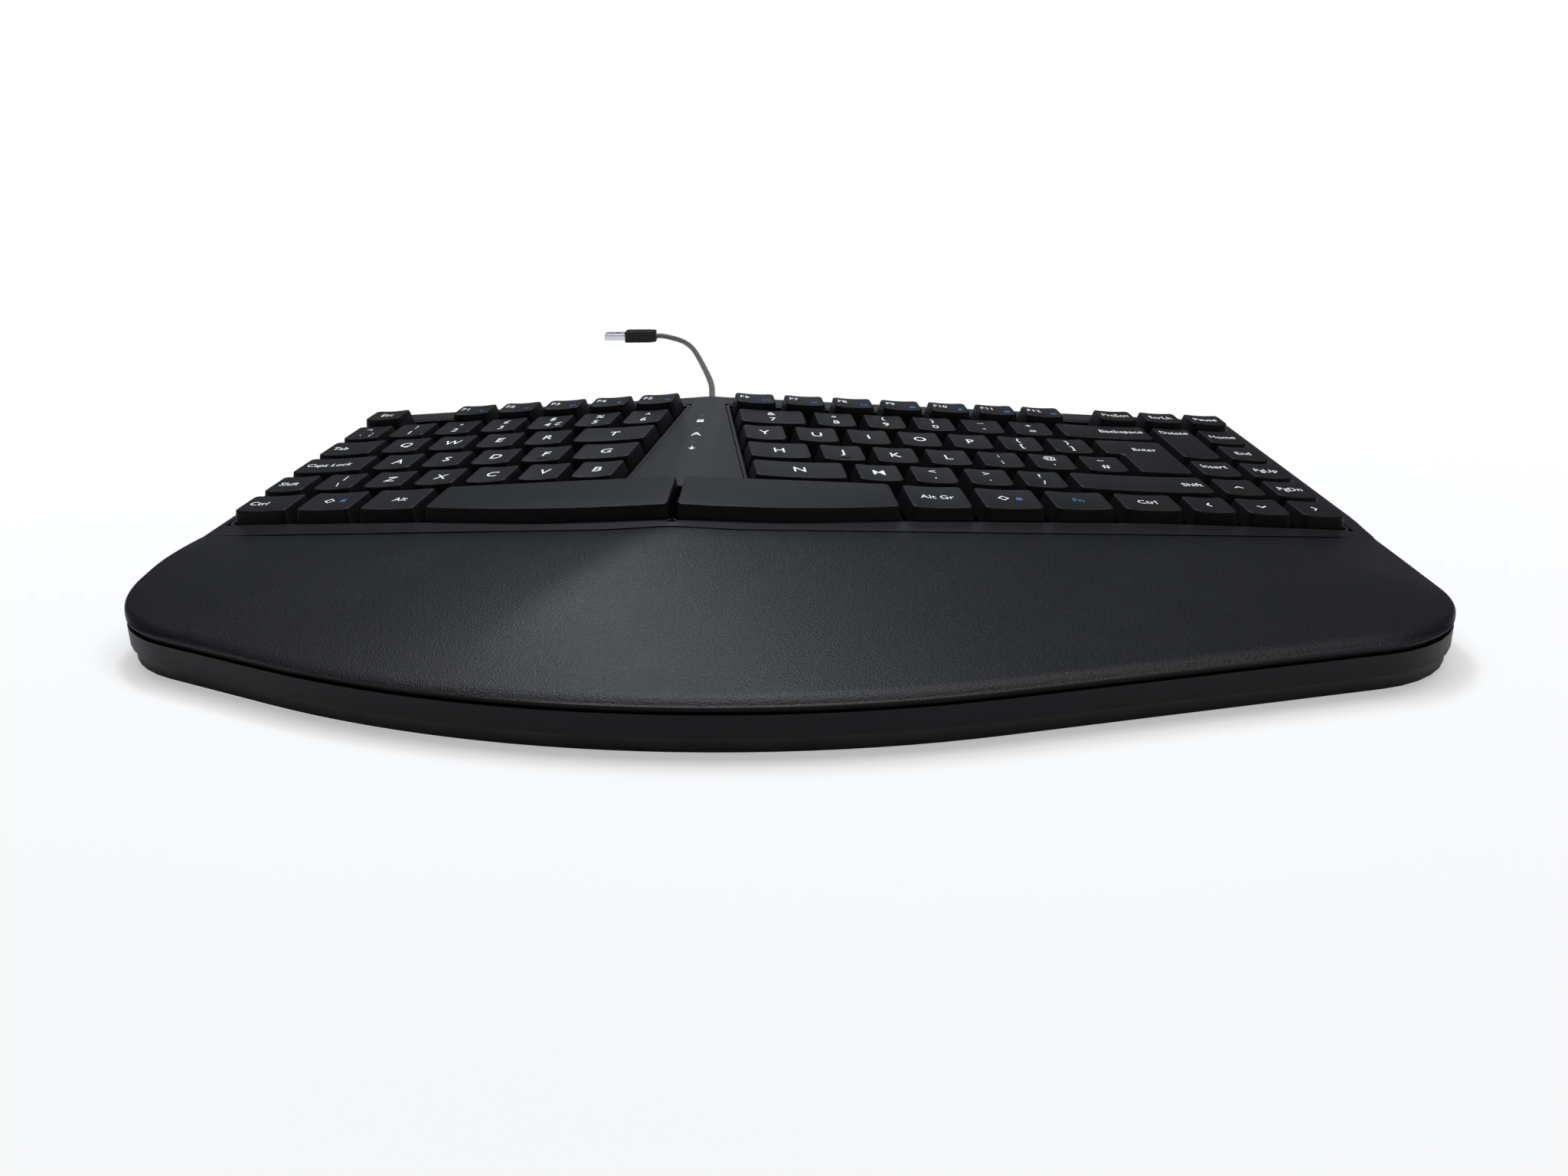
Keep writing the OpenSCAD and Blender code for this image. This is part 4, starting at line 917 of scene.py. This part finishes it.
def refill_rim(bm, z):
    """Lay the flat lower rim at height z again, as one clean strip."""
    flat = [f for f in bm.faces if abs(f.normal.z) > 0.99
            and all(abs(v.co.z - z) < SAME_LEVEL for v in f.verts)]
    bmesh.ops.delete(bm, geom=flat, context="FACES")
    open_edges = [e for e in bm.edges if e.is_boundary]
    bmesh.ops.triangle_fill(bm, edges=open_edges, use_beauty=True, normal=(0, 0, -1))


def softened(node, name, body, material, width, rim=None):
    """Copy of a node's mesh with flat faces merged and its edges rounded."""
    bm = bmesh.new()
    bm.from_mesh(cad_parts[node].data)
    bmesh.ops.remove_doubles(bm, verts=bm.verts, dist=SAME_PLACE)
    if rim is not None:
        refill_rim(bm, rim)
    upright = [e for e in bm.edges if all(f.normal.z > -0.9 for f in e.link_faces)]
    bmesh.ops.dissolve_limit(bm, angle_limit=math.radians(FLAT_ANGLE), verts=[], edges=upright)
    mesh = bpy.data.meshes.new(name)
    bm.to_mesh(mesh)
    bm.free()
    piece = add_piece(name, mesh, body, [material], [node], 32)
    bevel = piece.modifiers.new("edges", "BEVEL")
    bevel.width, bevel.segments = width * MM, 2
    bevel.limit_method, bevel.angle_limit = "ANGLE", math.radians(BEVEL_ANGLE)
    bevel.use_clamp_overlap = True
    bevel.harden_normals = True
    return piece


# Well lips

LIP_GAP, LIP_W, LIP_PANEL, LIP_DEPTH, LIP_LOW = 0.35, 0.85, 1.35, 3.0, 0.1


def well_corners(side, margin, inner):
    """Corners of a key well's opening, anticlockwise from the split's front."""
    uo, e = outer_edge(side) + margin, margin + WELL_FRONT
    uf, vb, ui = front_corner_u(WELL_SPLIT, e), margin - THUMB_GAP, INNER_EDGE - margin - inner
    us = outer_edge(side) - 3 * (THUMB_PITCH if side < 0 else KEY_PITCH)
    if side > 0:
        us -= 4 * THUMB_PITCH
    um = (front_corner_u(SPACE_GAP, 0) + us) / 2
    pts = [(uf, thumb_front(uf) - e), (um, thumb_front(um) - e - SPACE_BOW),
           (us, thumb_front(us) - e)]
    if uo > THUMB_FLAT + 5:
        pts.append((THUMB_FLAT, thumb_front(THUMB_FLAT) - e))
    return pts + [(uo, thumb_front(uo) - e), (uo, REAR_EDGE + margin),
                  (ui, REAR_EDGE + margin), (ui, vb)]


def well_lip(side, name):
    """Thin edge that lines a key well, inside the deck's opening, broader along the panel."""
    matrix = half_matrix(side)
    bm = bmesh.new()
    outer = well_corners(side, WELL_MARGIN - LIP_GAP, WELL_INNER)
    inner = well_corners(side, WELL_MARGIN - LIP_GAP - LIP_W, WELL_INNER - LIP_PANEL + LIP_W)
    bends = [1.2, 60.0, 30.0] + [30.0] * (len(outer) - 7) + [3.0, 1.6, 1.6, 1.2]

    def ring(share, w):
        corners = [(lerp(Vector(a), Vector(b), share), r, 6)
                   for a, b, r in zip(outer, inner, bends)]
        return [matrix @ Vector((p.x, p.y, w)) for p in rounded_path(corners)]

    top = H_DECK - LIP_LOW
    section = [(0, top - LIP_DEPTH), (0, top - 0.15), (0.15, top), (0.7, top), (0.93, top - 0.12),
               (1, top - 0.35), (1, top - LIP_DEPTH)]
    loft(bm, [ring(i, w) for i, w in section], closed=True)
    add_piece(name, mesh_from(name, bm), "base", ["lip"])


# Studio

def camera():
    """Camera at the photograph's viewpoint."""
    data = bpy.data.cameras.new("photo_camera")
    data.sensor_fit, data.sensor_width = "HORIZONTAL", SENSOR_W
    data.lens = SENSOR_W * FOCAL_PX / IMAGE_W
    data.clip_start, data.clip_end = 0.02, 60
    holder = bpy.data.objects.new("photo_camera", data)
    right, up = Vector(CAMERA_RIGHT), Vector(CAMERA_UP)
    back = right.cross(up)
    turn = Matrix((right, up, back)).transposed().to_4x4()
    holder.matrix_world = Matrix.Translation((CREST + Vector(CAMERA_AT)) * MM) @ turn
    SCENE.collection.objects.link(holder)
    SCENE.camera = holder


def lamp(name, at, aim, size, power, colour=(1, 1, 1)):
    data = bpy.data.lights.new(name, "AREA")
    data.shape, data.size, data.size_y = "RECTANGLE", size[0], size[1]
    data.energy, data.color = power, colour
    holder = bpy.data.objects.new(name, data)
    holder.location = at
    holder.rotation_euler = (Vector(aim) - Vector(at)).to_track_quat("-Z", "Y").to_euler()
    SCENE.collection.objects.link(holder)


def paper_floor():
    """White floor that fades into the background, and keeps the shadow near the part."""
    bm = bmesh.new()
    bmesh.ops.create_grid(bm, x_segments=1, y_segments=1, size=6.0)
    mesh = bpy.data.meshes.new("studio_floor")
    bm.to_mesh(mesh)
    bm.free()
    material = bpy.data.materials.new("floor_paper")
    material.use_nodes = True
    g = Graph(material.node_tree)
    seen = g.node("ShaderNodeLightPath", output="Is Camera Ray")
    tone = g.mix(g.noise(3.0), (0.9, 0.9, 0.9, 1), (0.93, 0.93, 0.93, 1))
    paper = g.node("ShaderNodeBsdfDiffuse", {}, {"Color": tone})
    glow = g.node("ShaderNodeEmission", {}, {"Color": (1, 1, 1, 1), "Strength": 1.0})
    away = g.node("ShaderNodeVectorMath", {"operation": "LENGTH"}, {0: g.place()}, output="Value")
    far = g.ramp(away, 0.22, 0.45)
    blend = g.node("ShaderNodeMixShader", {}, {0: seen * (0.45 + 0.55 * far), 1: paper, 2: glow})
    g.node("ShaderNodeOutputMaterial", {}, {"Surface": blend})
    mesh.materials.append(material)
    floor = bpy.data.objects.new("studio_floor", mesh)
    SCENE.collection.objects.link(floor)


def surroundings():
    """Dim room with a paler backdrop behind the part, seen as white by the camera."""
    world = bpy.data.worlds.new("studio_light")
    SCENE.world = world
    world.use_nodes = True
    g = Graph(world.node_tree)
    seen = g.node("ShaderNodeLightPath", output="Is Camera Ray")
    heading = g.node("ShaderNodeTexCoord", output="Generated")
    parts = {axis: g.node("ShaderNodeSeparateXYZ", {}, {0: heading}, output=axis) for axis in "XYZ"}
    low = g.ramp(parts["Y"], -0.2, 0.4) * (1 - g.ramp(parts["Z"], 0.25, 0.55))
    aside = g.ramp(parts["X"] * parts["X"], 0.012, 0.06)
    backdrop = g.ramp(parts["Y"], 0.7, 0.85) * (1 - g.ramp(parts["Z"], 0.5, 0.65)) * (1 - aside)
    room = g.mix(low, (0.036, 0.038, 0.044, 1), (0.14, 0.145, 0.165, 1))
    tone = g.mix(backdrop, room, (0.36, 0.38, 0.42, 1))
    sky = g.node("ShaderNodeBackground", {}, {"Color": tone, "Strength": 1.0})
    white = g.node("ShaderNodeBackground", {}, {"Color": (1, 1, 1, 1), "Strength": 1.0})
    blend = g.node("ShaderNodeMixShader", {}, {0: seen, 1: sky, 2: white})
    g.node("ShaderNodeOutputWorld", {}, {"Surface": blend})


def studio():
    paper_floor()
    surroundings()
    lamp("softbox_over", (0.0, 0.25, 1.5), (0, 0.1, 0), (2.0, 0.7), 21.5)
    lamp("softbox_back", (-0.24, 0.8, 1.45), (-0.02, -0.07, 0), (0.3, 0.4), 10.0, (0.84, 0.91, 1))
    lamp("softbox_right", (1.1, -0.7, 0.9), (0.1, -0.05, 0), (0.5, 0.8), 1.5)
    SCENE.view_settings.view_transform = "Standard"


# Lead

def spline(points, steps):
    """Smooth curve through points, with steps between two of them."""
    def at(a, b, c, d, t):
        return 0.5 * (2 * b + (c - a) * t + (2 * a - 5 * b + 4 * c - d) * t * t
                      + (3 * b - a - 3 * c + d) * t ** 3)
    pts, m = [Vector(p) for p in points], len(points) - 1
    out = [at(pts[max(0, i - 1)], pts[i], pts[i + 1], pts[min(m, i + 2)], k / steps)
           for i in range(m) for k in range(steps)]
    return out + [pts[m]]


def lead_route():
    """Centreline of the whole lead, outlet to plug, in mm."""
    coil_x, stub = COIL_C[0] + COIL_OUT, CORD_D
    out_y = OUTLET_Y + BOOT_L
    route = [Vector((SPLIT_X, out_y - BOOT_SEAT + CORD_IN, Z_OUTLET))]
    route += spline([(SPLIT_X, out_y, Z_OUTLET), (SPLIT_X, out_y + 6, Z_OUTLET), (-35, 122, 6),
                     (-36.5, 135, 3.2), (-37.8, 148, COIL_Z), (coil_x, 157, COIL_Z)], 6)
    route.append(Vector((coil_x, COIL_C[1] - stub, COIL_Z)))
    for i in range(2 * COIL_TURNS * TURN_STEPS + 1):
        t = i / TURN_STEPS
        r = COIL_OUT - COIL_STEP * (COIL_TURNS - abs(COIL_TURNS - t))
        z = COIL_Z + COIL_STEP * ease((t - COIL_TURNS + 0.25) * 2)
        a = 360 * t
        route.append(Vector((COIL_C[0] + r * cosd(a), COIL_C[1] + r * sind(a), z)))
    z2 = COIL_Z + COIL_STEP
    route.append(Vector((coil_x, COIL_C[1] + stub, z2)))
    on_desk = [(x, y, DESK_Z) for x, y in (
        (-42, 216), (-46.4, 258), (-53.1, 316.5), (-58.1, 362.5), (-68.6, 422.5), (-80.6, 483.5),
        (-88, 511.5), (-94, 527.5))]
    route += spline([(coil_x, COIL_C[1] + 2 * stub, z2), (-38.5, 182, 5), (-40, 198, 2.6)]
                    + on_desk + [(-100, 536.5, 2.2), (-107, 540.9, 3.2),
                                 (PLUG_X + 4, PLUG_Y, PLUG_Z)], 8)
    return route + [Vector((PLUG_X - 4, PLUG_Y, PLUG_Z))]


def lead_piece():
    """The lead as one round curve, its coil included."""
    curve = bpy.data.curves.new("usb_lead", "CURVE")
    curve.dimensions, curve.bevel_depth, curve.bevel_resolution = "3D", CORD_D / 2 * MM, 4
    curve.use_fill_caps = True
    route = lead_route()
    line = curve.splines.new("POLY")
    line.points.add(len(route) - 1)
    for point, p in zip(line.points, route):
        point.co = (*(p * MM), 1)
    line.use_smooth = True
    curve.materials.append(MATERIALS["cord"])
    piece = bpy.data.objects.new("usb_lead", curve)
    SCENE.collection.objects.link(piece)
    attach(piece, "base")
    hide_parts("usb_cord", "cord_coil")
    return piece


BOOT_RIBS, BOOT_RIB_STEP = 5, 2.1
PLUG_RIBS, PLUG_RIB_FROM, PLUG_RIB_STEP, PLUG_RIB_W, PLUG_RIB_L = 5, 7.0, 1.9, 0.45, 4.6
WINDOW_Y, WINDOW_X, WINDOW_SIZE = 2.6, 9.0, (2.2, 2.4, 8.0, 1)


def strain_boot():
    """Tapered ribbed sleeve where the lead leaves the case."""
    bm, sides, bore = bmesh.new(), 28, CORD_D / 2 + 0.08
    profile = [(-7.0, BOOT_R + 1.6), (-5.3, BOOT_R + 1.6), (-5.3, BOOT_R), (0.2, BOOT_R)]
    for k in range(BOOT_RIBS):
        y = 0.6 + k * BOOT_RIB_STEP
        r = BOOT_R - 0.09 * k
        profile += [(y, r), (y + 1.3, r - 0.03), (y + 1.45, r - 0.45), (y + 1.95, r - 0.48)]
    profile += [(11.4, BOOT_R - 0.5), (BOOT_L, BOOT_R - 0.62), (BOOT_L, bore), (BOOT_L - 4.8, bore)]
    around = [360 * k / sides for k in range(sides)]
    loft(bm, [[Vector((SPLIT_X + r * cosd(a), OUTLET_Y + y, Z_OUTLET + r * sind(a))) * MM
               for a in around] for y, r in profile])
    mesh = mesh_from("strain_boot", bm)
    add_piece("strain_boot", mesh, "base", ["rubber"], ["strain_relief"])


def plug_sleeve():
    """Folded metal sleeve of the plug, with two latch windows through its upper and lower walls."""
    x0 = PLUG_X - PLUG_L + SHELL_IN
    tube = bmesh.new()
    rings = []
    for inset, radius, x in ((0, 0.5, x0), (0, 0.5, x0 - SHELL_L + 0.15),
                             (0.12, 0.45, x0 - SHELL_L), (SHELL_T, 0.25, x0 - SHELL_L),
                             (SHELL_T, 0.25, x0)):
        half_w, half_h = SHELL_W / 2 - inset, SHELL_H / 2 - inset
        corners = [(Vector(c), radius, 5) for c in box_corners(-half_w, half_w, -half_h, half_h)]
        rings.append([Vector((x, PLUG_Y + p.x, PLUG_Z + p.y)) * MM for p in rounded_path(corners)])
    loft(tube, rings, closed=True)
    cutter = bmesh.new()
    for y in (-WINDOW_Y, WINDOW_Y):
        at = Matrix.Translation(Vector((x0 - WINDOW_X, PLUG_Y + y, PLUG_Z)) * MM)
        bmesh.ops.create_cube(cutter, size=MM, matrix=at @ Matrix.Diagonal(WINDOW_SIZE))
    holders = [bpy.data.objects.new("plug_part", mesh_from("plug_part", bm))
               for bm in (tube, cutter)]
    for holder in holders:
        SCENE.collection.objects.link(holder)
    cut = holders[0].modifiers.new("windows", "BOOLEAN")
    cut.operation, cut.object, cut.solver = "DIFFERENCE", holders[1], "EXACT"
    mesh = evaluated_mesh(holders[0])
    mesh.name = "plug_sleeve"
    for holder in holders:
        old = holder.data
        bpy.data.objects.remove(holder)
        bpy.data.meshes.remove(old)
    return add_piece("plug_sleeve", mesh, "base", ["bright"], ["plug_shell"], 30)


def plug_ribs():
    """Finger ribs moulded across the plug's grip."""
    bm = bmesh.new()
    for k in range(PLUG_RIBS):
        x = PLUG_X - PLUG_RIB_FROM - PLUG_RIB_STEP * k
        x0, x1 = x - PLUG_RIB_W, x + PLUG_RIB_W
        soft_block(bm, (x0, x1, PLUG_Y - PLUG_RIB_L, PLUG_Y + PLUG_RIB_L), 0.3,
                   ((0.0, 7.3), (0.0, 7.68), (-0.12, 7.8)), in_part)
    return add_piece("plug_ribs", mesh_from("plug_ribs", bm), "base", ["rubber"])


def foot_grip(side, body):
    """Rubber strip with ribs under a folding foot's free edge."""
    bm = bmesh.new()
    y0, z = SPLIT_Y + FOOT_Y + FOOT_L - 6.5, Z_HINGE - 2.0
    x0, x1 = side * FOOT_X - FOOT_W / 2 + 2, side * FOOT_X + FOOT_W / 2 - 2
    soft_block(bm, (x0, x1, y0, y0 + 5.5), 1.0,
               ((0.0, z + 0.1), (0.0, z - 0.1), (-0.15, z - 0.2)), in_part)
    for k in range(4):
        y = y0 + 0.95 + 1.2 * k
        soft_block(bm, (x0 + 0.8, x1 - 0.8, y - 0.3, y + 0.3), 0.2,
                   ((0.0, z - 0.15), (0.0, z - 0.4), (-0.1, z - 0.48)), in_part)
    add_piece(body + "_grip", mesh_from(body + "_grip", bm), body, ["rubber"])


def bottom_case_piece():
    """Bottom case with its band and, below it, the recessed plinth in a material of its own: a
    lighter, glossier copy of the base plastic, painted light that stands in for light bounced up
    from the floor.
    """
    shell = softened("bottom_case", "bottom_case_shell", "base", "base", 0.4)
    shell.data.materials.append(MATERIALS["plinth"])
    # Faces below the plinth's top get the lighter copy: painted light, not a different plastic
    for face in shell.data.polygons:
        face.material_index = int(face.center.z < PLINTH_H * MM)


# Nodes that keep their CAD form, with their finishes
CAD_FINISHES = {
    "key_frames": "frame", "dome_sheets": "dome", "membranes": "film", "backing_plates": "steel",
    "controller_board": "board", "indicator_lenses": "lens", "case_screws": "bright",
}


def main():
    camera()
    lead = lead_piece()
    strain_boot()
    studio()
    key_pieces()
    palm_piece()
    indicator_marks()
    softened("top_case", "top_case_shell", "base", "case", 0.3, rim=Z_CASE * MM)
    bottom_case_piece()
    for side, body in ((-1, "foot_left"), (1, "foot_right")):
        softened(body, body + "_leaf", body, "base", 0.5)
        foot_grip(side, body)
    softened("rubber_pads", "desk_pads", "base", "rubber", 0.45)
    grip = softened("plug_body", "plug_grip", "base", "rubber", 0.6)
    tie = softened("coil_tie", "coil_strap", "base", "strap", 0.25)
    sleeve, ribs = plug_sleeve(), plug_ribs()
    well_lip(-1, "well_lip_left")
    well_lip(1, "well_lip_right")
    for node, finish in CAD_FINISHES.items():
        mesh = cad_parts[node].data
        mesh.materials.clear()
        mesh.materials.append(MATERIALS[finish])


main()
